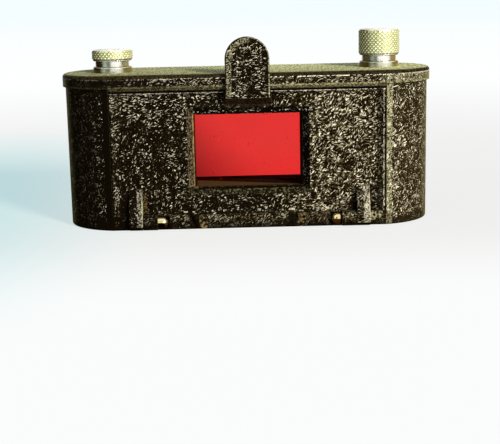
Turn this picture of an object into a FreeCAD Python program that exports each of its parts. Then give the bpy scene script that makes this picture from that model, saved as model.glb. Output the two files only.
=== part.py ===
import FreeCAD, Part
import math
import os

# A 35 mm film-strip contact duplicator: a long case with round ends, two film chambers, a spring-closed
# front door with a red window, and a lift-off lid that carries two knurled winding knobs.
# Millimetres. +X runs along the case, +Y to its rear, +Z up. The origin is the middle of its base.

V = FreeCAD.Vector

# ---- Driving dimensions -------------------------------------------------------------------------

# Film and picture
FILM_WIDTH = 35.0
PICTURE_WIDTH = 36.0
PICTURE_HEIGHT = 24.0
PICTURE_Z = 26.3

# Case outline: a flat front and rear, joined by round ends that start with a slight kink
CASE_HALF_LENGTH = 62.25
CASE_HALF_DEPTH = 17.5
KINK_X = 46.3
KINK_TURN = math.radians(12.0)
KINK_ROUND = 2.5
SHOULDER_TURN = math.radians(50.0)
CASE_HEIGHT = 51.1
BASE_EDGE_ROUND = 0.7
CHAMBER_X = 45.85
CHAMBER_RADIUS = 13.2
CHAMBER_FLOOR = 3.0
FRONT_RAIL_TOP = 4.9
DOOR_BAY_TOP = 46.9
BAY_FLOOR_Y = -14.2

# Lid
LID_SKIRT_BOTTOM = 48.0
LID_TOP = 52.3
LID_OVERHANG = 0.9
LID_CLEARANCE = 0.15
LID_EDGE_ROUND = 1.2

# Door
DOOR_HALF_WIDTH = 46.0
DOOR_BOTTOM = 5.1
DOOR_TOP = 46.35
DOOR_REAR_Y = -14.7
DOOR_DISH = 0.5
DOOR_RIM = 0.25
DOOR_SIDE_MARGIN = 2.6
DOOR_END_MARGIN = 0.9
BEVEL_OUTER_WIDTH = 41.2
BEVEL_OUTER_HEIGHT = 29.4
APERTURE_MARGIN = 0.3

# Thumb tongue
TONGUE_HALF_WIDTH = 7.35
TONGUE_TOP = 64.4
TONGUE_FRONT_Y = -20.1
TONGUE_THICKNESS = 1.5
TONGUE_RAMP_Z = (41.6, 44.2)
TONGUE_FLARE = 0.75
TONGUE_DISH_WIDTH = 11.8
TONGUE_DISH_DEPTH = 0.45
TONGUE_DISH_RISE = 1.2
TONGUE_EDGE_ROUND = 0.3

# Hinge, along X at the foot of the door
HINGE_Y = -17.9
HINGE_Z = 2.75
KNUCKLE_RADIUS = 2.6
KNUCKLE_X = (31.2, 36.0)
LUG_X = (36.2, 40.6)
LUG_TOP_Z = 14.4
LUG_END_WALL = 0.6
HINGE_PIN_RADIUS = 1.2
PIN_HEAD_RADIUS = 1.95
PIN_HEAD_LENGTH = 3.6
SPRING_POCKET_RADIUS = 2.05
SPRING_POCKET_DEPTH = 2.5
SPRING_COIL_RADIUS = 1.68
SPRING_WIRE_RADIUS = 0.2
SPRING_PITCH = 0.52
SPRING_LENGTH = 1.9
SPRING_START_DEGREES = 45.0

# Knobs and their drive
KNURL_RADIUS = 7.03
LEFT_KNOB_TOP = 59.9
RIGHT_KNOB_TOP = 65.0
KNURL_BOTTOM = 56.3
KNURL_LOW_CHAMFER = 0.7
KNURL_HIGH_CHAMFER = 0.4
NECK_RADIUS = 5.85
COLLAR_RADIUS = 6.7
COLLAR_TOP = 54.3
COLLAR_CHAMFER = 0.3
BUSHING_SHANK_RADIUS = 4.5
NUT_RADIUS = 6.6
NUT_THICKNESS = 1.5
SPINDLE_RADIUS = 2.5
SPINDLE_FLANGE_RADIUS = 4.2
SPINDLE_FLANGE_Z = (48.2, 49.25)
WASHER_Z = (49.28, 49.48)
FORK_RADIUS = 3.0
FORK_TIP_Z = 38.6
FORK_SLOT = 1.7
FORK_SLOT_DEPTH = 5.4
KNOB_ROOF = 2.5
KNOB_SCREW_RADIUS = 1.0
KNOB_SCREW_HEAD_RADIUS = 2.2
KNOB_SCREW_HEAD_HEIGHT = 1.2
KNOB_SCREW_SEAT = 0.8
KNOB_SCREW_LENGTH = 5.0

# Spools
SPOOL_BOTTOM = 7.7
SPOOL_CORE_RADIUS = 6.0
SPOOL_FLANGE_RADIUS = 12.2
SPOOL_FLANGE_THICKNESS = 0.9
SPOOL_WEB = 1.5
PIVOT_HEIGHT = 5.8

# Film gate, its glass and the rear window
CHANNEL_HALF_WIDTH = 42.0
CHANNEL_MARGIN = 0.7
GATE_SEAT_Y = 1.0
GATE_THICKNESS = 1.0
GATE_RIB = 0.4
GATE_HALF_WIDTH = 32.0
GATE_SCREW_X = 28.5
GATE_SCREW_Z = (11.0, 41.6)
GATE_SCREW_RADIUS = 0.7
GATE_SCREW_LENGTH = 4.8
TUNNEL_WIDTH = 39.0
TUNNEL_HEIGHT = 27.9
GATE_GLASS = (42.0, 1.5, 30.8)
REAR_GLASS = (44.0, 1.5, 32.0)
REAR_FRAME = (54.0, 1.4, 42.0)
REAR_FRAME_FLARE = 1.0
REAR_SCREW_X = 24.6
REAR_SCREW_RISE = 18.6
REAR_SCREW_RADIUS = 0.8
REAR_SCREW_LENGTH = 5.0

# Light seal around the film channel
SEAL_THICKNESS = 0.4
SEAL_OUTER_X = 45.6
SEAL_OUTER_Z = (5.6, 46.3)
SEAL_INNER_X = 42.7
SEAL_INNER_Z = (7.5, 44.9)

# Pressure frame: a deep box behind the window, with the red glass in its rear rim
FRAME_FACE_Y = -0.3
FRAME_MOUTH_Y = -14.2
FRAME_WALL = 1.0
FRAME_RIM = (41.6, 1.9, 28.0)
FRAME_FLANGE = (60.0, 0.8, 34.4)
FRAME_FLANGE_Y = -13.6
FRAME_FLANGE_ROUND = 2.0
RED_GLASS = (38.2, 1.4, 26.2)
STUD_X = 22.2
STUD_Z = (11.4, 41.4)
STUD_RADIUS = 0.7
STUD_SIDE_GAP = 0.1
STUD_DOME_SPHERE = 1.3
STUD_DOME_RISE = 0.45
STUD_HEAD_RADIUS = 1.4
STUD_HEAD_HEIGHT = 0.45
LEAF_X = 26.5
LEAF_HALF_LENGTH = 11.5
LEAF_HALF_WIDTH = 2.0
LEAF_BOW = 0.4
LEAF_THICKNESS = 0.2

# Pocket in the top of the case, and the strips under the lid that grip it
TOP_POCKET_X = 28.0
TOP_POCKET_Y = (-7.5, 12.5)
TOP_POCKET_FLOOR = 46.0
GRIP_X = 20.0
GRIP_HALF_WIDTH = 4.0
GRIP_THICKNESS = 0.4
GRIP_SIDE_GAP = 0.05
GRIP_LEG_BOTTOM = 46.6

# Fits
RUNNING_GAP = 0.06
SCREW_GAP = 0.03
SEAT_GAP = 0.1
FRAME_SEAT_GAP = 0.05
SWING_GAP = 0.3
LUG_SIDE_GAP = 0.25

# How far a cutting tool runs past the face it cuts
PAST = 1.0

# ---- Worked-out places ----------------------------------------------------------------------------

APERTURE_WIDTH = PICTURE_WIDTH + 2.0 * APERTURE_MARGIN
APERTURE_HEIGHT = PICTURE_HEIGHT + 2.0 * APERTURE_MARGIN
FILM_BOTTOM = PICTURE_Z - FILM_WIDTH / 2.0
FILM_TOP = PICTURE_Z + FILM_WIDTH / 2.0
CHANNEL_Z = (FILM_BOTTOM - CHANNEL_MARGIN, FILM_TOP + CHANNEL_MARGIN)
GATE_FRONT_Y = GATE_SEAT_Y - GATE_THICKNESS
REAR_FRAME_Y = CASE_HALF_DEPTH - REAR_FRAME[1]
REAR_GLASS_Y = REAR_FRAME_Y - REAR_GLASS[1]
REAR_SCREW_Z = (PICTURE_Z - REAR_SCREW_RISE, PICTURE_Z + REAR_SCREW_RISE)
DOOR_FACE_Y = -CASE_HALF_DEPTH + DOOR_DISH
FLANGE_REAR_Y = FRAME_FLANGE_Y + FRAME_FLANGE[1]
LID_PLATE_UNDERSIDE = CASE_HEIGHT
NUT_Z = (LID_PLATE_UNDERSIDE - NUT_THICKNESS, LID_PLATE_UNDERSIDE)
KNOB_BOTTOM = COLLAR_TOP + 0.08
CORE_TOP = FILM_TOP + 1.7


# ---- Small building helpers -----------------------------------------------------------------------

def block(x, y, z):
    """A box between two X values, two Y values and two Z values."""
    return Part.makeBox(x[1] - x[0], y[1] - y[0], z[1] - z[0], V(x[0], y[0], z[0]))


def slab(size, y, centre_z=PICTURE_Z):
    """An upright plate of (width, thickness, height), centred on x = 0, whose front is at y."""
    width, thickness, height = size
    return block((-width / 2, width / 2), (y, y + thickness), (centre_z - height / 2, centre_z + height / 2))


def rod_x(x, radius, y=HINGE_Y, z=HINGE_Z):
    return Part.makeCylinder(radius, x[1] - x[0], V(x[0], y, z), V(1, 0, 0))


def rod_y(y, radius, x, z):
    return Part.makeCylinder(radius, y[1] - y[0], V(x, y[0], z), V(0, 1, 0))


def rod_z(z, radius, x, y=0.0):
    return Part.makeCylinder(radius, z[1] - z[0], V(x, y, z[0]), V(0, 0, 1))


def mirrored(shape):
    return shape.mirror(V(0, 0, 0), V(1, 0, 0))


def both_sides(shape):
    return [shape, mirrored(shape)]


def four_places(x, heights):
    """The (x, z) places of four fasteners, two on each side."""
    return [(side * x, z) for z in heights for side in (-1, 1)]


def joined(first, *others):
    return first.fuse(list(others)).removeSplitter()


def grown(low_high, amount):
    return (low_high[0] - amount, low_high[1] + amount)


def edges_at(shape, test):
    """The edges of a shape whose centre passes a test."""
    return [edge for edge in shape.Edges if test(edge.CenterOfMass, edge)]


def upright_rectangle(half_width, low, high, y):
    corners = [V(-half_width, y, low), V(half_width, y, low), V(half_width, y, high), V(-half_width, y, high)]
    return Part.makePolygon(corners + corners[:1])


def tapered_window(width_a, height_a, y_a, width_b, height_b, y_b):
    """A four-sided taper between two upright rectangles centred on the picture."""
    wires = []
    for width, height, y in ((width_a, height_a, y_a), (width_b, height_b, y_b)):
        wires.append(upright_rectangle(width / 2, PICTURE_Z - height / 2, PICTURE_Z + height / 2, y))
    return Part.makeLoft(wires, True, True)


def save(node, *solids):
    """Writes one node's STEP file and prints what it holds."""
    shape = solids[0] if len(solids) == 1 else Part.makeCompound(list(solids))
    if len(shape.Solids) == 1:
        shape = shape.Solids[0]
    shape.exportStep(os.path.join("parts", node + ".step"))
    volume = sum(solid.Volume for solid in shape.Solids)
    print(f"{node:24s} {len(shape.Solids)} solid(s) {volume:10.1f} mm3 {'ok' if shape.isValid() else 'INVALID'}")


# ---- Case outline ---------------------------------------------------------------------------------

def end_arc_radii():
    """Radii of the shoulder arcs and the end arc, so that together they close one end of the case."""
    a = math.sin(SHOULDER_TURN) - math.sin(KINK_TURN)
    b = 1.0 - math.sin(SHOULDER_TURN)
    c = math.cos(KINK_TURN) - math.cos(SHOULDER_TURN)
    d = math.cos(SHOULDER_TURN)
    length = CASE_HALF_LENGTH - KINK_X - KINK_ROUND * math.sin(KINK_TURN)
    depth = CASE_HALF_DEPTH - KINK_ROUND * (1.0 - math.cos(KINK_TURN))
    determinant = a * d - b * c
    return (length * d - b * depth) / determinant, (a * depth - c * length) / determinant


def end_arcs(grow):
    """The five arcs of the right-hand end, from the front round to the rear, offset outwards by grow."""
    shoulder, end = end_arc_radii()
    half_turn = math.pi
    turns = [(KINK_ROUND, 0.0, KINK_TURN),
             (shoulder, KINK_TURN, SHOULDER_TURN),
             (end, SHOULDER_TURN, half_turn - SHOULDER_TURN),
             (shoulder, half_turn - SHOULDER_TURN, half_turn - KINK_TURN),
             (KINK_ROUND, half_turn - KINK_TURN, half_turn)]
    start = V(KINK_X, -CASE_HALF_DEPTH - grow, 0)
    arcs = []
    for radius, low, high in turns:
        outward = [V(math.sin(turn), -math.cos(turn), 0) for turn in (low, (low + high) / 2, high)]
        centre = start - outward[0] * (radius + grow)
        points = [centre + way * (radius + grow) for way in outward]
        arcs.append(Part.Arc(*points).toShape())
        start = points[-1]
    return arcs


def case_prism(grow, z, rounded_z=None, edge_round=0.0):
    """A prism on the case outline, offset by grow; the edges at height rounded_z are rounded."""
    depth = CASE_HALF_DEPTH + grow
    half_outline = [Part.makeLine(V(-KINK_X, -depth, 0), V(KINK_X, -depth, 0))] + end_arcs(grow)
    other_half = [edge.copy() for edge in half_outline]
    for edge in other_half:
        edge.rotate(V(0, 0, 0), V(0, 0, 1), 180)
    face = Part.Face(Part.Wire(half_outline + other_half))
    face.translate(V(0, 0, z[0]))
    prism = face.extrude(V(0, 0, z[1] - z[0]))
    if edge_round:
        prism = prism.makeFillet(edge_round, edges_at(prism, lambda centre, edge: abs(centre.z - rounded_z) < 0.01))
    return prism


# ---- Case -----------------------------------------------------------------------------------------

def knuckle():
    """One hinge knuckle of the case."""
    barrel = rod_x(KNUCKLE_X, KNUCKLE_RADIUS)
    web = block(KNUCKLE_X, (HINGE_Y, BAY_FLOOR_Y), (HINGE_Z - KNUCKLE_RADIUS, FRONT_RAIL_TOP))
    return joined(barrel, web)


def knuckle_bores():
    """The pin's hole through a knuckle, and the pocket for its spring."""
    pin_hole = rod_x(grown(KNUCKLE_X, PAST), HINGE_PIN_RADIUS)
    spring_pocket = rod_x((KNUCKLE_X[1] - SPRING_POCKET_DEPTH, KNUCKLE_X[1] + PAST / 2), SPRING_POCKET_RADIUS)
    return joined(pin_hole, spring_pocket)


def rail_boss():
    """A small tapered boss on the front rail, wider at its top."""
    boss_x = 17.8
    foot_radius = 0.9
    top_radius = 2.3
    z = (0.7, 4.7)
    sunk = 0.6
    return Part.makeCone(foot_radius, top_radius, z[1] - z[0], V(boss_x, -CASE_HALF_DEPTH + sunk, z[0]), V(0, 0, 1))


def hinge_clearance():
    """The room in the front rail for one door lug and one pin head."""
    x = grown(LUG_X, LUG_SIDE_GAP)
    front_y = HINGE_Y - KNUCKLE_RADIUS - SWING_GAP
    lug_room = rod_x(x, KNUCKLE_RADIUS + SWING_GAP)
    lug_way = block(x, (front_y, HINGE_Y + KNUCKLE_RADIUS + SWING_GAP), (HINGE_Z, FRONT_RAIL_TOP + PAST))
    lug_foot = block(x, (front_y, HINGE_Y + 1.6), (-PAST, HINGE_Z))
    head_room = rod_x((KNUCKLE_X[0] - PIN_HEAD_LENGTH - SWING_GAP, KNUCKLE_X[0]), PIN_HEAD_RADIUS + SWING_GAP)
    return joined(lug_room, lug_way, lug_foot, head_room)


def light_path_cuts():
    """The film channel, the tunnel to the rear, and the seats of the two glasses and the rear frame."""
    channel_x = (-CHANNEL_HALF_WIDTH, CHANNEL_HALF_WIDTH)
    cuts = [block(channel_x, (BAY_FLOOR_Y - PAST, GATE_SEAT_Y), CHANNEL_Z)]
    cuts.append(slab((TUNNEL_WIDTH, 2 * CASE_HALF_DEPTH, TUNNEL_HEIGHT), GATE_SEAT_Y))
    cuts.append(slab((GATE_GLASS[0] + 2 * SEAT_GAP, GATE_GLASS[1], GATE_GLASS[2] + 2 * SEAT_GAP), GATE_SEAT_Y))
    deep = CASE_HALF_DEPTH + PAST - REAR_GLASS_Y
    cuts.append(slab((REAR_GLASS[0] + 2 * SEAT_GAP, deep, REAR_GLASS[2] + 2 * SEAT_GAP), REAR_GLASS_Y))
    deep = CASE_HALF_DEPTH + PAST - REAR_FRAME_Y
    gap = 2 * FRAME_SEAT_GAP
    cuts.append(slab((REAR_FRAME[0] + gap, deep, REAR_FRAME[2] + gap), REAR_FRAME_Y))
    return cuts


def screw_hole_cuts():
    """The threaded holes for the gate's screws and the rear frame's screws."""
    cuts = []
    gate_y = (GATE_SEAT_Y - SEAT_GAP, GATE_FRONT_Y + GATE_SCREW_LENGTH + SEAT_GAP)
    for x, z in four_places(GATE_SCREW_X, GATE_SCREW_Z):
        cuts.append(rod_y(gate_y, GATE_SCREW_RADIUS + SCREW_GAP, x, z))
    rear_y = (CASE_HALF_DEPTH - REAR_SCREW_LENGTH - SEAT_GAP, REAR_FRAME_Y + SEAT_GAP)
    for x, z in four_places(REAR_SCREW_X, REAR_SCREW_Z):
        cuts.append(rod_y(rear_y, REAR_SCREW_RADIUS + SCREW_GAP, x, z))
    return cuts


def case_body():
    solid = case_prism(0.0, (0.0, CASE_HEIGHT), 0.0, BASE_EDGE_ROUND)
    solid = joined(solid, *both_sides(rail_boss()))
    above = CASE_HEIGHT + PAST
    cuts = both_sides(rod_z((CHAMBER_FLOOR, above), CHAMBER_RADIUS, CHAMBER_X))
    cuts.append(block((-KINK_X, KINK_X), (-CASE_HALF_DEPTH - PAST, BAY_FLOOR_Y), (FRONT_RAIL_TOP, DOOR_BAY_TOP)))
    cuts.append(block((-TOP_POCKET_X, TOP_POCKET_X), TOP_POCKET_Y, (TOP_POCKET_FLOOR, above)))
    cuts += light_path_cuts()
    cuts += screw_hole_cuts()
    cuts += both_sides(hinge_clearance())
    solid = solid.cut(cuts)
    solid = solid.fuse(both_sides(knuckle()))
    return solid.cut(both_sides(knuckle_bores())).removeSplitter()


# ---- Film gate and rear window --------------------------------------------------------------------

def countersunk_screw(x, z, face_y, outward, radius, length):
    """A slotted countersunk screw, its head flush with face_y; outward is the way its head faces, -1 or 1."""
    head_radius = 2.0 * radius
    direction = V(0, -outward, 0)
    head = Part.makeCone(head_radius, radius, head_radius - radius, V(x, face_y, z), direction)
    shank = Part.makeCylinder(radius, length, V(x, face_y, z), direction)
    slot_y = sorted((face_y + outward * PAST, face_y - outward * 0.35 * radius))
    slot = block((x - head_radius, x + head_radius), slot_y, (z - 0.18 * radius, z + 0.18 * radius))
    return joined(head, shank).cut(slot)


def countersink(x, z, face_y, outward, radius):
    """The hole that a countersunk screw needs in a thin plate."""
    direction = V(0, -outward, 0)
    head = Part.makeCone(2 * radius + SCREW_GAP, radius + SCREW_GAP, radius, V(x, face_y, z), direction)
    bore = Part.makeCylinder(radius + SCREW_GAP, REAR_FRAME[1] + PAST, V(x, face_y, z), direction)
    return joined(head, bore)


def film_gate():
    """The polished plate that the film runs over, with a picture aperture and two low guide ribs."""
    z = grown(CHANNEL_Z, -SEAT_GAP)
    plate = block((-GATE_HALF_WIDTH, GATE_HALF_WIDTH), (GATE_FRONT_Y, GATE_SEAT_Y), z)
    rib_half = GATE_HALF_WIDTH - 1.0
    rib_y = (GATE_FRONT_Y - GATE_RIB, GATE_FRONT_Y)
    low_rib = block((-rib_half, rib_half), rib_y, (z[0], FILM_BOTTOM - SEAT_GAP))
    high_rib = block((-rib_half, rib_half), rib_y, (FILM_TOP + SEAT_GAP, z[1]))
    plate = joined(plate, low_rib, high_rib)
    cuts = [slab((APERTURE_WIDTH, GATE_THICKNESS + 2 * PAST, APERTURE_HEIGHT), GATE_FRONT_Y - PAST)]
    for x, height in four_places(GATE_SCREW_X, GATE_SCREW_Z):
        cuts.append(countersink(x, height, GATE_FRONT_Y, -1, GATE_SCREW_RADIUS))
    return plate.cut(cuts)


def gate_screws():
    return [countersunk_screw(x, z, GATE_FRONT_Y, -1, GATE_SCREW_RADIUS, GATE_SCREW_LENGTH)
            for x, z in four_places(GATE_SCREW_X, GATE_SCREW_Z)]


def rear_window_frame():
    """The frame that holds the rear window, flush with the rear of the case."""
    frame = slab(REAR_FRAME, REAR_FRAME_Y)
    cuts = [slab((TUNNEL_WIDTH, REAR_FRAME[1] + 2 * PAST, TUNNEL_HEIGHT), REAR_FRAME_Y - PAST)]
    cuts.append(tapered_window(TUNNEL_WIDTH, TUNNEL_HEIGHT, CASE_HALF_DEPTH - REAR_FRAME_FLARE,
                               TUNNEL_WIDTH + 2 * REAR_FRAME_FLARE, TUNNEL_HEIGHT + 2 * REAR_FRAME_FLARE,
                               CASE_HALF_DEPTH))
    for x, z in four_places(REAR_SCREW_X, REAR_SCREW_Z):
        cuts.append(countersink(x, z, CASE_HALF_DEPTH, 1, REAR_SCREW_RADIUS))
    return frame.cut(cuts)


def rear_frame_screws():
    return [countersunk_screw(x, z, CASE_HALF_DEPTH, 1, REAR_SCREW_RADIUS, REAR_SCREW_LENGTH)
            for x, z in four_places(REAR_SCREW_X, REAR_SCREW_Z)]


def door_seal():
    """The velvet light seal around the film channel."""
    y = (BAY_FLOOR_Y - SEAL_THICKNESS, BAY_FLOOR_Y)
    ring = block((-SEAL_OUTER_X, SEAL_OUTER_X), y, SEAL_OUTER_Z)
    return ring.cut(block((-SEAL_INNER_X, SEAL_INNER_X), grown(y, PAST), SEAL_INNER_Z))


# ---- Hinge ----------------------------------------------------------------------------------------

def hinge_pin():
    """A domed pin pressed in the case knuckle; its far end carries the door lug."""
    shank = rod_x((KNUCKLE_X[0] - 0.5, LUG_X[1] - LUG_END_WALL - 0.2), HINGE_PIN_RADIUS)
    head_start = KNUCKLE_X[0] - PIN_HEAD_LENGTH + PIN_HEAD_RADIUS
    head = rod_x((head_start, KNUCKLE_X[0]), PIN_HEAD_RADIUS)
    dome = Part.makeSphere(PIN_HEAD_RADIUS, V(head_start, HINGE_Y, HINGE_Z))
    return joined(shank, head, dome)


def hinge_spring():
    """The closing spring around the pin, inside the knuckle."""
    start = V(KNUCKLE_X[1] - SPRING_POCKET_DEPTH + 0.25, HINGE_Y, HINGE_Z)
    helix = Part.makeHelix(SPRING_PITCH, SPRING_LENGTH, SPRING_COIL_RADIUS)
    circle = Part.makeCircle(SPRING_WIRE_RADIUS, V(SPRING_COIL_RADIUS, 0, 0), V(0, 1, 0))
    coil = Part.Wire(helix.Edges).makePipeShell([Part.Wire(circle)], True, True)
    coil.rotate(V(0, 0, 0), V(0, 0, 1), SPRING_START_DEGREES)
    coil.rotate(V(0, 0, 0), V(0, 1, 0), 90)
    coil.translate(start)
    return coil


# ---- Door -----------------------------------------------------------------------------------------

def door_lug():
    """A wedge-shaped hinge lug: flush with the door at its top, round about the hinge axis at its foot."""
    x = LUG_X[0]
    top = V(x, DOOR_FACE_Y, LUG_TOP_Z)
    reach = math.hypot(DOOR_FACE_Y - HINGE_Y, LUG_TOP_Z - HINGE_Z)
    rise = math.atan2(LUG_TOP_Z - HINGE_Z, DOOR_FACE_Y - HINGE_Y)
    touch = rise + math.acos(KNUCKLE_RADIUS / reach)
    tangent = V(x, HINGE_Y + KNUCKLE_RADIUS * math.cos(touch), HINGE_Z + KNUCKLE_RADIUS * math.sin(touch))
    rear_y = HINGE_Y + KNUCKLE_RADIUS
    points = [top, tangent, V(x, HINGE_Y, HINGE_Z), V(x, rear_y, HINGE_Z), V(x, rear_y, LUG_TOP_Z), top]
    wedge = Part.Face(Part.makePolygon(points)).extrude(V(LUG_X[1] - LUG_X[0], 0, 0))
    return joined(wedge, rod_x(LUG_X, KNUCKLE_RADIUS))


def tongue_foot():
    """The flared ramp on which the tongue stands off the door."""
    sunk_y = DOOR_FACE_Y + 0.6
    wires = [upright_rectangle(TONGUE_HALF_WIDTH, TONGUE_RAMP_Z[1], DOOR_TOP, TONGUE_FRONT_Y),
             upright_rectangle(TONGUE_HALF_WIDTH + TONGUE_FLARE, TONGUE_RAMP_Z[0], DOOR_TOP, sunk_y)]
    return Part.makeLoft(wires, True, True)


def tongue_dish(centre_z):
    """What is hollowed out of the tongue's face: a shallow trough with a round upper end."""
    half = TONGUE_DISH_WIDTH / 2
    radius = (half ** 2 + TONGUE_DISH_DEPTH ** 2) / (2 * TONGUE_DISH_DEPTH)
    axis_y = TONGUE_FRONT_Y + TONGUE_DISH_DEPTH - radius
    trough = rod_z((TONGUE_RAMP_Z[1] + TONGUE_DISH_RISE, centre_z), radius, 0.0, axis_y)
    upper_end = block((-radius, radius), (axis_y, TONGUE_FRONT_Y + TONGUE_THICKNESS), (centre_z, centre_z + radius))
    return joined(trough, Part.makeSphere(radius, V(0, axis_y, centre_z)).common(upper_end))


def tongue():
    """The thumb tongue: it stands off the door's top edge, in front of the lid, and has a dished face."""
    centre_z = TONGUE_TOP - TONGUE_HALF_WIDTH
    rear_y = TONGUE_FRONT_Y + TONGUE_THICKNESS
    y = (TONGUE_FRONT_Y, rear_y)
    blade = block((-TONGUE_HALF_WIDTH, TONGUE_HALF_WIDTH), y, (TONGUE_RAMP_Z[1], centre_z))
    round_end = rod_y(y, TONGUE_HALF_WIDTH, 0.0, centre_z)
    whole = joined(blade, round_end, tongue_foot()).cut(tongue_dish(centre_z))
    rim = edges_at(whole, lambda centre, edge: centre.z > centre_z + 0.5 and edge.Length > 10.0
                   and abs(centre.y - rear_y) < 0.05)
    return whole.makeFillet(TONGUE_EDGE_ROUND, rim)


def door_plate():
    """The plate, its front dished by sloping margins so that its rim stays level with the case."""
    plate = block((-DOOR_HALF_WIDTH, DOOR_HALF_WIDTH), (-CASE_HALF_DEPTH, DOOR_REAR_Y), (DOOR_BOTTOM, DOOR_TOP))
    wires = []
    for side, end, y in ((DOOR_RIM, DOOR_RIM, -CASE_HALF_DEPTH), (DOOR_SIDE_MARGIN, DOOR_END_MARGIN, DOOR_FACE_Y)):
        wires.append(upright_rectangle(DOOR_HALF_WIDTH - side, DOOR_BOTTOM + end, DOOR_TOP - end, y))
    return plate.cut(Part.makeLoft(wires, True, True))


def window_bevel():
    """The four-sided bevel of the window, run on in front of the door's face."""
    slope_x = (BEVEL_OUTER_WIDTH - APERTURE_WIDTH) / (DOOR_REAR_Y - DOOR_FACE_Y)
    slope_z = (BEVEL_OUTER_HEIGHT - APERTURE_HEIGHT) / (DOOR_REAR_Y - DOOR_FACE_Y)
    return tapered_window(APERTURE_WIDTH, APERTURE_HEIGHT, DOOR_REAR_Y, BEVEL_OUTER_WIDTH + slope_x * PAST,
                          BEVEL_OUTER_HEIGHT + slope_z * PAST, DOOR_FACE_Y - PAST)


def door_panel():
    solid = joined(door_plate(), tongue(), *both_sides(door_lug()))
    cuts = [window_bevel()]
    cuts += both_sides(rod_x(grown(KNUCKLE_X, LUG_X[0] - KNUCKLE_X[1]), KNUCKLE_RADIUS + SWING_GAP))
    cuts += both_sides(rod_x((LUG_X[0] - PAST, LUG_X[1] - LUG_END_WALL), HINGE_PIN_RADIUS + RUNNING_GAP))
    through = (-CASE_HALF_DEPTH - PAST, DOOR_REAR_Y + PAST)
    for x, z in four_places(STUD_X, STUD_Z):
        cuts.append(rod_y(through, STUD_RADIUS + SCREW_GAP, x, z))
    return solid.cut(cuts)


def red_filter_glass():
    return slab(RED_GLASS, FRAME_FACE_Y - RED_GLASS[1])


def pressure_frame():
    """The sprung box that presses both films on the gate: a flange at the door, four walls, and a rear rim."""
    flange = slab(FRAME_FLANGE, FRAME_FLANGE_Y)
    middle_y = FRAME_FLANGE_Y + FRAME_FLANGE[1] / 2
    corners = edges_at(flange, lambda centre, edge: abs(centre.y - middle_y) < 0.01)
    flange = flange.makeFillet(FRAME_FLANGE_ROUND, corners)
    depth = FRAME_FACE_Y - FRAME_MOUTH_Y
    walls = slab((APERTURE_WIDTH + 2 * FRAME_WALL, depth, APERTURE_HEIGHT + 2 * FRAME_WALL), FRAME_MOUTH_Y)
    rim = slab(FRAME_RIM, FRAME_FACE_Y - FRAME_RIM[1])
    cuts = [slab((APERTURE_WIDTH, depth + 2 * PAST, APERTURE_HEIGHT), FRAME_MOUTH_Y - PAST), red_filter_glass()]
    stud_hole = (FRAME_FLANGE_Y - PAST, FLANGE_REAR_Y + PAST)
    for x, z in four_places(STUD_X, STUD_Z):
        cuts.append(rod_y(stud_hole, STUD_RADIUS + STUD_SIDE_GAP, x, z))
    return joined(flange, walls, rim).cut(cuts)


def pressure_frame_studs():
    """Studs riveted in the door, domed on its face, that guide the pressure frame and stop it with their heads."""
    head_y = FLANGE_REAR_Y + 0.02
    centre_y = DOOR_FACE_Y - STUD_DOME_RISE + STUD_DOME_SPHERE
    studs = []
    for x, z in four_places(STUD_X, STUD_Z):
        shank = rod_y((DOOR_FACE_Y - STUD_DOME_RISE / 2, head_y + STUD_HEAD_HEIGHT / 2), STUD_RADIUS, x, z)
        in_front = block(grown((x, x), STUD_DOME_SPHERE), (DOOR_FACE_Y - PAST, DOOR_FACE_Y),
                         grown((z, z), STUD_DOME_SPHERE))
        dome = Part.makeSphere(STUD_DOME_SPHERE, V(x, centre_y, z)).common(in_front)
        head = rod_y((head_y, head_y + STUD_HEAD_HEIGHT), STUD_HEAD_RADIUS, x, z)
        studs.append(joined(shank, dome, head))
    return studs


def pressure_springs():
    """Two bowed leaf springs between the door and the pressure frame, touching the door at their middle."""
    leaves = []
    for side in (-1, 1):
        x = side * LEAF_X - LEAF_HALF_WIDTH
        arcs = []
        for y in (DOOR_REAR_Y, DOOR_REAR_Y + LEAF_THICKNESS):
            low = V(x, y + LEAF_BOW, PICTURE_Z - LEAF_HALF_LENGTH)
            high = V(x, y + LEAF_BOW, PICTURE_Z + LEAF_HALF_LENGTH)
            arcs.append(Part.Arc(low, V(x, y, PICTURE_Z), high).toShape())
        first, second = arcs
        low_end, high_end = [Part.makeLine(first.Vertexes[i].Point, second.Vertexes[i].Point) for i in (0, 1)]
        leaf = Part.Face(Part.Wire([first, high_end, second, low_end]))
        leaves.append(leaf.extrude(V(2 * LEAF_HALF_WIDTH, 0, 0)))
    return leaves


# ---- Lid ------------------------------------------------------------------------------------------

def lid_cover():
    solid = case_prism(LID_OVERHANG, (LID_SKIRT_BOTTOM, LID_TOP), LID_TOP, LID_EDGE_ROUND)
    room = case_prism(LID_CLEARANCE, (LID_SKIRT_BOTTOM - PAST, LID_PLATE_UNDERSIDE))
    bushing_hole = rod_z((LID_SKIRT_BOTTOM, LID_TOP + PAST), BUSHING_SHANK_RADIUS + SCREW_GAP, CHAMBER_X)
    return solid.cut([room] + both_sides(bushing_hole))


def bushing(x):
    """The bearing of one spindle: a collar above the lid and a shank through it."""
    collar = rod_z((LID_TOP, COLLAR_TOP), COLLAR_RADIUS, x)
    rim = edges_at(collar, lambda centre, edge: centre.z > COLLAR_TOP - 0.01 and edge.Length > COLLAR_RADIUS)
    collar = collar.makeChamfer(COLLAR_CHAMFER, rim)
    shank = rod_z((NUT_Z[0] - SEAT_GAP, LID_TOP), BUSHING_SHANK_RADIUS, x)
    bore = rod_z((NUT_Z[0] - PAST, COLLAR_TOP + PAST), SPINDLE_RADIUS + RUNNING_GAP, x)
    return joined(collar, shank).cut(bore)


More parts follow.
